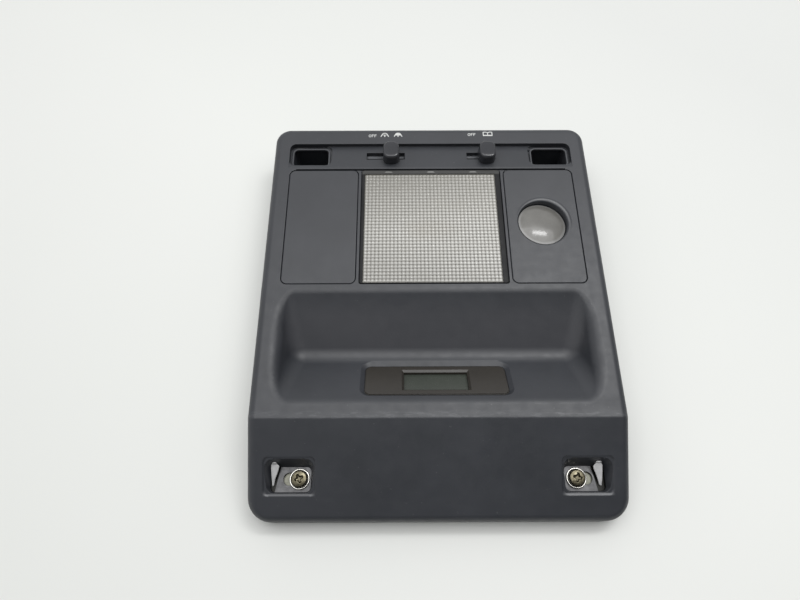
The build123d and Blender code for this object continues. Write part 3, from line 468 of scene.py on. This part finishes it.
# Switch signs. White ink stamped on the rear border: OFF and a car with its doors open, empty and
# filled, beside the dome lamp's knob; OFF and an open book beside the map lamp's. Their points and
# strokes are in millimetres from the middle of each sign.
def inked(body, at, points, width=None, layer=0):
    """A stroke of ink along the points, or a filled patch inside them where no width is given."""
    if width is None:
        outline = points
    else:
        left, right = [], []
        for k, (x, y) in enumerate(points):
            before, after = points[max(k - 1, 0)], points[min(k + 1, len(points) - 1)]
            run = Vector((after[0] - before[0], after[1] - before[1])).normalized() * (width / 2)
            left.append((x - run.y, y + run.x))
            right.append((x + run.y, y - run.x))
        outline = left + right[::-1]
    levels = []
    for z in (border_z - ink_half, border_z + ink_half + ink_layer * layer):
        levels.append([body.verts.new((at[0] + x / 1000, at[1] + y / 1000, z)) for x, y in outline])
    top = levels[1]
    if width is None:
        body.faces.new(top)
    else:
        last = len(top) - 1
        for k in range(len(points) - 1):
            body.faces.new((top[k], top[k + 1], top[last - 1 - k], top[last - k]))
    walled(body, levels)


def both_sides(half):
    """A line of points that runs up the left side and mirrored down the right one."""
    return [(-x, y) for x, y in half] + half[::-1]


ink, tree, shader, place = new_finish("white_ink")
clouded(tree, shader, place, 0.0006, 3.0, (0.46, 0.47, 0.46), (0.62, 0.63, 0.62))
uneven_sheen(tree, shader, place, 0.0004, 0.45, 0.6)
border_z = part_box("dome_lens")[1].z
ink_half, ink_layer = 0.00002, 0.000008
signs = bmesh.new()

letter_half, letter_stroke, bar_stroke = 1.13, 0.38, 0.36
round_x, round_half_w, round_half_h = -1.75, 0.72, 0.95
round_turns = [2 * pi * k / 24 for k in range(25)]
round_letter = [(round_x + round_half_w * cos(a), round_half_h * sin(a)) for a in round_turns]
off_places = ((-0.0377, 0.1149), (0.0279, 0.1157))
for at in off_places:
    inked(signs, at, round_letter, bar_stroke)
    for x in (-0.4, 1.35):
        inked(signs, at, [(x, -letter_half), (x, letter_half)], letter_stroke)
        for y, reach in ((0.95, 1.2), (0.02, 1.0)):
            inked(signs, at, [(x + letter_stroke / 2, y), (x + reach, y)], bar_stroke, 1)

line_stroke, seat_stroke, sill_stroke = 0.6, 0.75, 0.45
roof = both_sides([(2.6, -1.4), (2.05, -0.3), (1.6, 0.65), (1.15, 1.2), (0.55, 1.5)])
cabin = both_sides([(2.1, -0.4), (1.6, 0.7), (1.2, 1.25), (0.55, 1.6)])[::-1]
empty_car, filled_car = (-0.0297, 0.1155), (-0.0209, 0.1156)
for at, filled in ((empty_car, False), (filled_car, True)):
    inked(signs, at, roof, line_stroke)
    inked(signs, at, [(0.0, 0.2), (0.0, -1.5)], seat_stroke, 1)
    if filled:
        inked(signs, at, cabin, layer=2)
    else:
        inked(signs, at, [(-1.75, 0.1), (1.75, 0.1)], sill_stroke, 2)

book, foot_stroke = (0.0385, 0.1162), 0.9
for side, layer in ((-1, 1), (1, 2)):
    inked(signs, book, [(side * 2.9, -1.3), (side * 2.9, 1.5)], line_stroke)
    inked(signs, book, [(side * 0.1, 1.1), (side * 1.4, 1.5), (side * 3.0, 1.4)], line_stroke, layer)
    inked(signs, book, [(0.0, -1.3), (side * 3.1, -1.3)], foot_stroke, 3)
inked(signs, book, [(0.0, -1.5), (0.0, 1.2)], line_stroke, 4)
finished(signs, "switch_signs", ink, "console", "lens_frosted")


# Dome lamp. A white enamelled pan hangs under the window and throws the light of the tubular bulb
# forward; the bulb lies between two brass springs on a fibre plate, and the roof wiring plugs into
# a nylon socket behind it.
enamel, tree, shader, place = new_finish("white_enamel")
clouded(tree, shader, place, 0.02, 4.0, (0.66, 0.65, 0.6), (0.76, 0.75, 0.71))
uneven_sheen(tree, shader, place, 0.004, 0.3, 0.45)
raised(tree, shader, speckle(tree, place, 0.002, 1.0), 0.00001)
dress(enamel, "lamp_tray")
dress(fibre, "contact_plate")
dress(brass, "bulb_contact_left", "bulb_contact_right")
dress(nylon, "wiring_socket")

bulb_clear, tree, shader, place = new_finish("bulb_glass_clear")
shader.inputs["Transmission Weight"].default_value = 0.8
shader.inputs["IOR"].default_value = 1.5
clouded(tree, shader, place, 0.008, 3.0, (0.62, 0.6, 0.55), (0.8, 0.79, 0.76))
uneven_sheen(tree, shader, place, 0.003, 0.02, 0.08)
dress(bulb_clear, "bulb_glass")
nickel = plated("nickel_cap", (0.5, 0.47, 0.42), (0.66, 0.63, 0.58), 0.25, 0.4)[0]
dress(nickel, "bulb_cap_left", "bulb_cap_right")


# Dome lens. One clear acrylic plate with a plain rim and a field of small square pillows that
# scatter the light; it drops into the window from the front and three clips hold its rear edge. The
# pillows carry painted glints on their tops and painted shade between them under a beige haze; the
# lens is painted darker at the rear left and at the front, and its rear rim carries a painted highlight.
def slanted(tree, first, second, share):
    """The first number and this share of the second."""
    return worked(tree, "ADD", first, worked(tree, "MULTIPLY", second, share))


def squared_reach(tree, x, y):
    """Square of the distance that is x one way and y the other."""
    return worked(tree, "ADD", worked(tree, "MULTIPLY", x, x), worked(tree, "MULTIPLY", y, y))


lens_lo, lens_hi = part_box("dome_lens")
plate = (lens_lo.x, lens_hi.x, lens_lo.y, lens_hi.y)
# Each step is an inset, a corner radius and a drop from the top.
plate_steps = (
    (0, 0.0015, 0.0025),
    (0, 0.0015, 0.0004),
    (0.00012, 0.00138, 0.00012),
    (0.0004, 0.0011, 0),
)
rim_left, rim_right, rim_front, rim_rear = 0.0020, 0.0034, 0.0008, 0.0030
field = (lens_lo.x + rim_left, lens_hi.x - rim_right, lens_lo.y + rim_front, lens_hi.y - rim_rear)
field_steps = ((-0.0003, 0.0004, 0), (-0.0001, 0.0002, 0.0004))
rim_index, clip_index = 1, 2
lens = bmesh.new()
rings = []
for (left, right, front, rear), steps in ((plate, plate_steps), (field, field_steps)):
    for inset, corner, drop in steps:
        outline = round_corners(left + inset, right - inset, front + inset, rear - inset, corner)
        rings.append([lens.verts.new((x, y, lens_hi.z - drop)) for x, y in outline])
for wall in walled(lens, rings):
    wall.material_index = rim_index
lens.faces.new(list(reversed(rings[0])))

pillows_x, pillows_y, parts = 36, 33, 4
pillow_rise, pillow_power, field_drop = 0.0009, 0.8, 0.0011
field_z = lens_hi.z - field_drop
left, right, front, rear = field
steps_x, steps_y = pillows_x * parts, pillows_y * parts
grid = []
for j in range(steps_y + 1):
    swell_y = abs(sin(pi * j / parts)) ** pillow_power
    row = []
    for i in range(steps_x + 1):
        swell = (abs(sin(pi * i / parts)) ** pillow_power + swell_y) / 2
        edge = min(i, j, steps_x - i, steps_y - j) == 0
        x = left + (right - left) * i / steps_x
        y = front + (rear - front) * j / steps_y
        row.append(lens.verts.new((x, y, field_z + (0 if edge else pillow_rise * swell))))
    grid.append(row)
for j in range(steps_y):
    for i in range(steps_x):
        lens.faces.new((grid[j][i], grid[j][i + 1], grid[j + 1][i + 1], grid[j + 1][i]))
bmesh.ops.bridge_loops(lens, edges=[edge for edge in lens.edges if edge.is_boundary])

clip_apart, clip_half, clip_half_back = 0.027, 0.0034, 0.0022
clip_sink, clip_rise = 0.0001, 0.0003
back, front = lens_hi.y - 0.0008, lens_hi.y - 0.002
clip_plan = ((-clip_half, front), (clip_half, front), (clip_half_back, back), (-clip_half_back, back))
for x in (-clip_apart, 0.0, clip_apart):
    feet = [lens.verts.new((x + off, y, lens_hi.z - clip_sink)) for off, y in clip_plan]
    peak = lens.verts.new((x, (back + front) / 2, lens_hi.z + clip_rise))
    for k in range(4):
        lens.faces.new((feet[k], feet[(k + 1) % 4], peak)).material_index = clip_index
    lens.faces.new(list(reversed(feet))).material_index = clip_index

acrylic, tree, shader, place = new_finish("pillow_acrylic")
across, along, up = parted(tree, place)
# Painted glints on the pillow tops and painted shade between them: the colour runs from dark to light with
# height.
height = spread(tree, up, 0.0, 1.0, field_z, field_z + pillow_rise)
colour = graded(
    tree,
    height,
    (0.0, (0.09, 0.088, 0.08)),
    (0.22, (0.2, 0.196, 0.182)),
    (0.45, (0.41, 0.404, 0.38)),
    (0.7, (0.53, 0.523, 0.495)),
    (1.0, (0.76, 0.755, 0.73)),
)
haze_beige, far_painted_shade_grey, near_painted_shade_grey = (0.46, 0.445, 0.4), (0.25, 0.243, 0.22), (0.27, 0.262, 0.24)
haze = spread(tree, speckle(tree, place, 0.014, 5.0, 0.65), 0.0, 0.22, 0.45, 0.7)
haze = worked(tree, "ADD", haze, spread(tree, along, 0.0, 0.4, lens_lo.y + 0.015, lens_hi.y))
colour = painted_over(tree, haze, colour, haze_beige)
# Painted shade towards the rear and the left of the lens.
far_side = slanted(tree, along, across, -0.25)
colour = painted_over(tree, spread(tree, far_side, 0.0, 0.85, 0.045, 0.1), colour, far_painted_shade_grey)
# Painted shade towards the front of the lens, less on the right.
near_side = slanted(tree, along, across, 0.3)
near_shade = spread(tree, near_side, 0.4, 0.0, lens_lo.y, lens_lo.y + 0.028)
colour = painted_over(tree, near_shade, colour, near_painted_shade_grey)
bulb_half_x, bulb_half_y, bulb_brown = 0.017, 0.007, (0.3, 0.26, 0.2)
bulb_y = (lens_lo.y + lens_hi.y) / 2 - 0.004
bulb_off_x = worked(tree, "DIVIDE", across, bulb_half_x)
bulb_off_y = worked(tree, "DIVIDE", worked(tree, "SUBTRACT", along, bulb_y), bulb_half_y)
bulb_shade = spread(tree, squared_reach(tree, bulb_off_x, bulb_off_y), 0.16, 0.0, 0.0, 1.6)
colour = painted_over(tree, bulb_shade, colour, bulb_brown)
tree.links.new(colour, shader.inputs["Base Color"])
uneven_sheen(tree, shader, place, 0.003, 0.12, 0.22)
shader.inputs["IOR"].default_value = 1.49
shader.inputs["Transmission Weight"].default_value = 0.2
prism_lens = finished(lens, "prism_lens", acrylic, "console", "lens_clear", "dome_lens", turn=50)

rim_clear, tree, shader, place, colour = moulded(
    "clear_rim", (0.011, 0.0115, 0.0125), (0.019, 0.0195, 0.0205), 0.35, 0.5, 0.001, 0.000004
)
shader.inputs["Specular IOR Level"].default_value = 0.15
across, along, up = parted(tree, place)
# Painted highlight along the rear rim of the lens.
rear_rim_highlight_grey = (0.058, 0.058, 0.057)
rear_rim_highlight = spread(tree, along, 0.0, 1.0, lens_hi.y - 0.0034, lens_hi.y - 0.0026)
tree.links.new(painted_over(tree, rear_rim_highlight, colour, rear_rim_highlight_grey), shader.inputs["Base Color"])
prism_lens.data.materials.append(rim_clear)
clip_clear = moulded(
    "clear_clip", (0.15, 0.15, 0.145), (0.22, 0.22, 0.215), 0.2, 0.35, 0.001, 0.000004
)[0]
prism_lens.data.materials.append(clip_clear)


# Blank cover and map lamp panel. Two grained covers drop into the windows beside the lens; the
# right one carries a leaning tube for the map lamp, and the lip of its socket is softly rounded,
# with a painted highlight where it rises.
panel_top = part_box("map_lamp_panel")[1].z
panel_grain, tree, shader, place, colour = moulded(
    "panel_moulding", charcoal_dark, charcoal_light, 0.4, 0.48
)
across, along, up = parted(tree, place)
# Painted highlight on the raised part of the socket lip.
socket_highlight_grey = (0.1, 0.103, 0.108)
socket_lip_highlight = spread(tree, up, 0.0, 1.0, panel_top + 0.0001, panel_top + 0.0006)
tree.links.new(painted_over(tree, socket_lip_highlight, colour, socket_highlight_grey), shader.inputs["Base Color"])
dress(panel_grain, "blank_cover")

socket = Vector((0.0679, 0.0479, panel_top))
lean = radians(6.5)
axis = Vector((sin(lean) / sqrt(2), sin(lean) / sqrt(2), cos(lean)))
bore = 0.0152
level_play, bore_play = 1e-5, 4e-5


def on_top(corner):
    """Whether this corner lies in the panel's top face."""
    return abs(corner.co.z - panel_top) < level_play


def in_bore(corner):
    """Whether this corner lies on the wall of the leaning bore."""
    off = corner.co - socket
    return abs((off - axis * off.dot(axis)).length - bore) < bore_play


map_panel = smooth_copy("map_lamp_panel", "map_lamp_cover")
map_panel.data.materials.clear()
map_panel.data.materials.append(panel_grain)
body = bmesh.new()
body.from_mesh(map_panel.data)
plain_faces = []
for face in body.faces:
    if all(map(on_top, face.verts)) or all(map(in_bore, face.verts)):
        plain_faces.append(face)
bmesh.ops.delete(body, geom=plain_faces, context="FACES")
open_edges = [edge for edge in body.edges if edge.is_boundary]
outer_edges = [edge for edge in open_edges if all(map(on_top, edge.verts))]
seat_edges = [edge for edge in open_edges if edge not in outer_edges]

turns = 96
near_turn, lip_turn = radians(45), radians(68)
soft_least, soft_more, lip_rise = 0.0003, 0.0012, 0.0008
apron_least, apron_more = 0.3, 0.7
apron_steps = ((0.0019, 0.0), (0.0015, 0.1), (0.001, 0.45), (0.0005, 0.85), (0.0002, 0.97))
steps = [(apron, share, 0) for apron, share in apron_steps]
steps += [(0, 1.0, radians(15 * step)) for step in range(7)]
rings = []
for apron, share, turn in steps:
    ring = []
    for k in range(turns):
        a = 2 * pi * k / turns
        near = 0.5 + 0.5 * cos(a - near_turn)
        soft = soft_least + soft_more * near
        lip = (0.5 + 0.5 * cos(a - lip_turn)) ** 3
        rise = lip_rise * lip * share - soft * (1 - cos(turn))
        reach = bore + apron * (apron_least + apron_more * near) + soft * (1 - sin(turn))
        at = socket + Vector((cos(a), sin(a), 0)) * reach + Vector((axis.x, axis.y, 0)) * (rise / axis.z)
        ring.append(body.verts.new((at.x, at.y, panel_top + rise)))
    rings.append(ring)
ring_edges = []
for ring in (rings[0], rings[-1]):
    ring_edges.append([body.edges.new((ring[k], ring[(k + 1) % turns])) for k in range(turns)])
walled(body, rings)
bmesh.ops.bridge_loops(body, edges=outer_edges + ring_edges[0])
bmesh.ops.bridge_loops(body, edges=seat_edges + ring_edges[1])
bmesh.ops.recalc_face_normals(body, faces=body.faces)
for face in body.faces:
    face.smooth = True
body.to_mesh(map_panel.data)
body.free()
map_panel.data.set_sharp_from_angle(angle=radians(24))


# Map lamp. A frosted dome sits on the ledge of the leaning tube, with a bright cone and a small
# bulb in a black holder behind it.
frost, tree, shader, place = new_finish("frosted_dome")
tone = clouded(tree, shader, place, 0.007, 4.0, (0.112, 0.109, 0.1), (0.142, 0.139, 0.128), 0.6)
dome_lo, dome_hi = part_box("map_lens")
across, along, up = parted(tree, place)
off_x = worked(tree, "SUBTRACT", across, (dome_lo.x + dome_hi.x) / 2)
off_y = worked(tree, "SUBTRACT", along, (dome_lo.y + dome_hi.y) / 2)
# Painted highlight round the rim of the dome, strongest towards the front left.
rim_light_start, rim_light_full, rim_highlight_grey = 0.0129, 0.0142, (0.25, 0.25, 0.245)
from_middle = worked(tree, "SQRT", squared_reach(tree, off_x, off_y))
at_edge = spread(tree, from_middle, 0.0, 1.0, rim_light_start, rim_light_full)
inward = worked(tree, "MULTIPLY", slanted(tree, off_y, off_x, 0.4), -1.0)
painted_rim_highlight = together(tree, at_edge, spread(tree, inward, 0.45, 1.0, -0.008, 0.012))
tree.links.new(painted_over(tree, painted_rim_highlight, tone, rim_highlight_grey), shader.inputs["Base Color"])
uneven_sheen(tree, shader, place, 0.002, 0.45, 0.55)
shader.inputs["Transmission Weight"].default_value = 0.1
shader.inputs["Coat Weight"].default_value = 0.8
shader.inputs["Coat Roughness"].default_value = 0.13
raised(tree, shader, speckle(tree, place, 0.0004, 1.0), 0.000008)
dress(frost, "map_lens")
mirror_cone = plated("bright_cone", (0.7, 0.7, 0.7), (0.82, 0.82, 0.82), 0.08, 0.15)[0]
dress(mirror_cone, "map_reflector")
dress(bulb_clear, "map_bulb")
dress(black_plastic, "map_bulb_holder")


# Brackets. A slotted grey steel plate closes each front pocket from behind, over a nut plate that
# takes the screw; both are stamped and zinc plated.
grey_plate = plated("dull_plate", (0.06, 0.06, 0.062), (0.105, 0.105, 0.108), 0.32, 0.45, 0.004, 0.00001)[0]
dress(grey_plate, "bracket_left")
bracket = smooth_copy("bracket_right", "slotted_bracket_right")
bracket.data.materials.clear()
bracket.data.materials.append(grey_plate)
slant_start, slant_inward = 0.0848, 0.0019
for corner in bracket.data.vertices:
    if corner.co.x > slant_start:
        corner.co.x -= slant_inward

bright_plate, tree, shader, place, tint = plated(
    "bright_plate", (0.1, 0.1, 0.085), (0.15, 0.15, 0.125), 0.3, 0.45, 0.004, 0.00001
)
across, along, up = parted(tree, place)
# The outer strip of each nut plate is painted dark, as painted shade beside the bracket.
shade_start, shade_full, shade_grey = 0.0835, 0.0845, (0.02, 0.02, 0.019)
shaded = spread(tree, worked(tree, "ABSOLUTE", across), 0.0, 1.0, shade_start, shade_full)
tree.links.new(painted_over(tree, shaded, tint, shade_grey), shader.inputs["Base Color"])
dress(bright_plate, "nut_plate_left", "nut_plate_right")


# Spring ears. A bright wedge of spring steel stands on the nut plate beside the slanted edge of each
# bracket. It climbs to the rear wall of the pocket, where its end is turned up. The plans of the
# wedges are in millimetres, with X out from the middle of the console.
ear_zinc, tree, shader = plated(
    "dull_ear", (0.47, 0.47, 0.475), (0.57, 0.57, 0.575), 0.35, 0.5, 0.003, 0.00001
)[:3]
shader.inputs["Metallic"].default_value = 0.15
ear_foot, ear_climb, ear_front, ear_thick = 0.0165, 0.5, -0.104, 0.0008
left_plan = (
    (89.6, -93.6), (89.0, -93.0), (87.3, -92.9), (86.1, -93.4), (85.3, -94.3),
    (85.8, -96.0), (86.7, -98.4), (87.6, -100.4), (88.0, -102.2), (88.4, -103.8),
    (89.0, -104.1), (89.3, -103.4), (89.5, -99.4), (89.7, -95.4),
)
right_plan = (
    (83.5, -94.7), (84.5, -93.7), (86.2, -93.3), (87.8, -93.5), (88.3, -94.2),
    (88.4, -97.9), (88.3, -101.9), (88.0, -104.3), (87.5, -104.4), (86.8, -103.8),
    (86.1, -101.4), (84.9, -98.4), (83.8, -96.2),
)
upturn_levels = ((0.0208, 0.0), (0.0227, 0.0002), (0.0232, 0.0008))
wall_y, wall_foot, wall_lean, upturn_thick = -0.0944, 0.017, 0.325, 0.0005
for side, sign, plan, inner, outer in (
    ("left", -1, left_plan, 0.0864, 0.0892),
    ("right", 1, right_plan, 0.0845, 0.0878),
):
    wedge = []
    for drop in (ear_thick, 0):
        ring = []
        for x, y in plan:
            climbed = ear_foot + ear_climb * (y / 1000 - ear_front)
            ring.append((sign * x / 1000, y / 1000, climbed - drop))
        wedge.append(ring)
    ear = bmesh.new()
    stacked(ear, wedge)
    upturn = []
    for z, pull in upturn_levels:
        y = wall_y + wall_lean * (z - wall_foot)
        front_y = y - upturn_thick
        x_in, x_out = sign * (inner + pull), sign * (outer - pull)
        upturn.append([(x_in, front_y, z), (x_out, front_y, z), (x_out, y, z), (x_in, y, z)])
    stacked(ear, upturn)
    finished(ear, f"spring_ear_{side}", ear_zinc, "console", "bright_zinc")


# Roof washers. A cupped bright washer with a rolled bead lies on each bracket; it is pressed from
# thin steel and plated.
ring_plate = plated("bright_washer", (0.66, 0.645, 0.6), (0.84, 0.83, 0.79), 0.12, 0.2)[0]
hole_r, bead, sheet = 0.00265, 0.0005, 0.0004
hole_bevel, bevel_low, bevel_high = 0.00015, 0.0003, 0.0001
bead_gap = 0.00005
turns = 96
for side in ("left", "right"):
    washer_lo, washer_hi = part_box(f"roof_washer_{side}")
    washer_x, washer_y = (washer_lo.x + washer_hi.x) / 2, (washer_lo.y + washer_hi.y) / 2
    washer_r, low, high = (washer_hi.x - washer_lo.x) / 2, washer_lo.z, washer_hi.z
    section = [(hole_r, low), (washer_r - bevel_low, low)]
    section += [(washer_r - bevel_high, low + bevel_high), (washer_r, low + sheet)]
    for k in range(9):
        turn = radians(22.5 * k)
        section.append((washer_r - bead * (1 - cos(turn)), high - bead * (1 - sin(turn))))
    section += [(washer_r - 2 * bead - bead_gap, low + sheet), (hole_r + hole_bevel, low + sheet)]
    section.append((hole_r, low + bevel_low))
    cup = bmesh.new()
    loops = []
    for r, z in section:
        loop = []
        for k in range(turns):
            a = 2 * pi * k / turns
            loop.append(cup.verts.new((washer_x + r * cos(a), washer_y + r * sin(a), z)))
        loops.append(loop)
    walled(cup, loops, closed=True)
    finished(cup, f"cup_washer_{side}", ring_plate, "console", "bright_ring", f"roof_washer_{side}")


# Roof screws. A yellow passivated steel screw clamps each bracket to the roof; it has a domed pan
# head with a driven cross, a plain neck and a rolled thread. The head is painted a darker brown
# towards its foot.
def clamped(share):
    """The share, kept from 0 to 1."""
    return min(1.0, max(0.0, share))


gold_plate, tree, shader, place, tint = plated(
    "yellow_zinc", (0.08, 0.07, 0.044), (0.2, 0.183, 0.13), 0.22, 0.4, 0.0011, 0.00003
)
across, along, up = parted(tree, place)
# The head is painted a darker brown towards its foot.
foot_dark_full, foot_dark_end, foot_brown = 0.0194, 0.0206, (0.05, 0.044, 0.03)
darker_foot = spread(tree, up, 0.6, 0.0, foot_dark_full, foot_dark_end)
tree.links.new(painted_over(tree, darker_foot, tint, foot_brown), shader.inputs["Base Color"])

turns = 144
tip_r, tip_l, neck_r, neck_start = 0.0014, 0.0008, 0.00218, 0.0002
thread_end, thread_r, thread_depth, thread_pitch = 0.0139, 0.00212, 0.00036, 0.0008
thread_steps, fade_steps = 115, 8
head_lap, head_wall, head_round, head_rise = 0.0002, 0.0011, 0.0008, 0.0015
foot_steps = ((0.0003, 0), (0.0001, 0.00012), (0, 0.0004), (0, head_wall))
crown_steps, cross_depth = 44, 0.0015
arm_half, arm_slope, arm_reach, arm_end = 0.00072, 0.00022, 0.0026, 0.0009
arm_least, arm_deepest = 0.55, 0.0018
well_r, well_slope = 0.0016, 0.0009
angles = [2 * pi * i / turns for i in range(turns)]
for side, twist in (("left", radians(24)), ("right", radians(-14))):
    screw_lo, screw_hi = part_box(f"roof_screw_{side}")
    washer_lo, washer_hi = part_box(f"roof_washer_{side}")
    screw_x, screw_y = (washer_lo.x + washer_hi.x) / 2, (washer_lo.y + washer_hi.y) / 2
    head_r, head_low = (screw_hi.x - screw_lo.x) / 2 + head_lap, washer_hi.z
    rings = [[(tip_r, a, screw_lo.z) for a in angles]]
    thread_start = screw_lo.z + tip_l
    for k in range(thread_steps + 1):
        z = thread_start + (thread_end - thread_start) * k / thread_steps
        fade = min(1.0, k / fade_steps, (thread_steps - k) / fade_steps)
        ring = []
        for i, a in enumerate(angles):
            wave = (z / thread_pitch - i / turns) % 1.0
            ring.append((thread_r + thread_depth * fade * (1 - abs(2 * wave - 1)), a, z))
        rings.append(ring)
    profile = [(neck_r, thread_end + neck_start), (neck_r, head_low)]
    profile += [(head_r - inset, head_low + rise) for inset, rise in foot_steps]
    for k in range(1, 8):
        turn = radians(80 * k / 7)
        profile.append((head_r - head_round * (1 - cos(turn)), head_low + head_wall + head_rise * sin(turn)))
    rings += [[(r, a, z) for a in angles] for r, z in profile]
    rim_r, rim_z = profile[-1]
    for k in range(1, crown_steps):
        r = rim_r * (1 - k / crown_steps)
        crown_z = rim_z + (screw_hi.z - rim_z) * (1 - (r / rim_r) ** 2)
        well = clamped((well_r - r) / well_slope)
        ring = []
        for a in angles:
            u, v = abs(r * cos(a - twist)), abs(r * sin(a - twist))
            long, short = max(u, v), min(u, v)
            arm = clamped((arm_half - short) / arm_slope) * clamped((arm_reach - long) / arm_end)
            arm *= arm_least + (1 - arm_least) * min(1.0, (arm_reach - long) / arm_deepest)
            ring.append((r, a, crown_z - cross_depth * max(arm, well)))
        rings.append(ring)
    screw = bmesh.new()
    stacked(screw, [[(screw_x + r * cos(a), screw_y + r * sin(a), z) for r, a, z in ring] for ring in rings])
    finished(screw, f"cross_screw_{side}", gold_plate, "console", "gold_zinc", f"roof_screw_{side}", turn=45)


# Table and light. The console lies face up on a pale table, under a broad soft ceiling light and a
# small bright window at the rear right, in a white room that is brightest at the rear left.
table_half = 4
corners = [(-table_half, -table_half, 0), (table_half, -table_half, 0)]
corners += [(table_half, table_half, 0), (-table_half, table_half, 0)]
table_mesh = bpy.data.meshes.new("pale_table")
table_mesh.from_pydata(corners, [], [(0, 1, 2, 3)])
table = bpy.data.objects.new("pale_table", table_mesh)
bpy.context.scene.collection.objects.link(table)
pale, tree, shader, place = new_finish("pale_table_top")
tone = clouded(tree, shader, place, 0.4, 3.0, (0.685, 0.7, 0.675), (0.705, 0.715, 0.695))
across, along, up = parted(tree, place)
# The table is painted darker towards the rear right, as painted shade.
rear_right_painted_shade_tone = (0.615, 0.626, 0.61)
painted_shade_rear_right = spread(tree, slanted(tree, along, across, 0.8), 0.0, 1.0, 0.05, 0.4)
tree.links.new(painted_over(tree, painted_shade_rear_right, tone, rear_right_painted_shade_tone), shader.inputs["Base Color"])
shader.inputs["Roughness"].default_value = 0.6
table_mesh.materials.append(pale)

world = bpy.data.worlds.new("white_room")
bpy.context.scene.world = world
world.use_nodes = True
tree = world.node_tree
room = tree.nodes["Background"]
room.inputs["Color"].default_value = (1.0, 1.0, 1.0, 1.0)
direction = tree.nodes.new("ShaderNodeTexCoord").outputs["Generated"]
across, along, up = parted(tree, direction)
brightness = spread(tree, slanted(tree, along, across, -0.7), 0.1, 0.88, -0.95, 0.8)
tree.links.new(brightness, room.inputs["Strength"])

for name, at, wide, deep, power in (
    ("soft_ceiling", (0.14, 0.22, 1.2), 1.8, 0.95, 12.3),
    ("bright_window", (0.4, 0.42, 1.15), 0.5, 0.16, 3.6),
):
    lamp = bpy.data.lights.new(name, "AREA")
    lamp.shape = "RECTANGLE"
    lamp.size = wide
    lamp.size_y = deep
    lamp.energy = power
    source = bpy.data.objects.new(name, lamp)
    bpy.context.scene.collection.objects.link(source)
    source.location = at


# Camera. It stands just in front of the console, about a third of a metre above the table, and looks
# down on it with a slight tilt to the rear.
lens_data = bpy.data.cameras.new("viewpoint")
lens_data.sensor_width = 36.0
lens_data.lens = 24.98
camera = bpy.data.objects.new("viewpoint", lens_data)
bpy.context.scene.collection.objects.link(camera)
camera.location = (-0.0206, -0.1310, 0.3303)
camera.rotation_euler = (radians(23.4), 0, radians(-0.23))
bpy.context.scene.camera = camera

bpy.context.scene.view_settings.view_transform = "Standard"
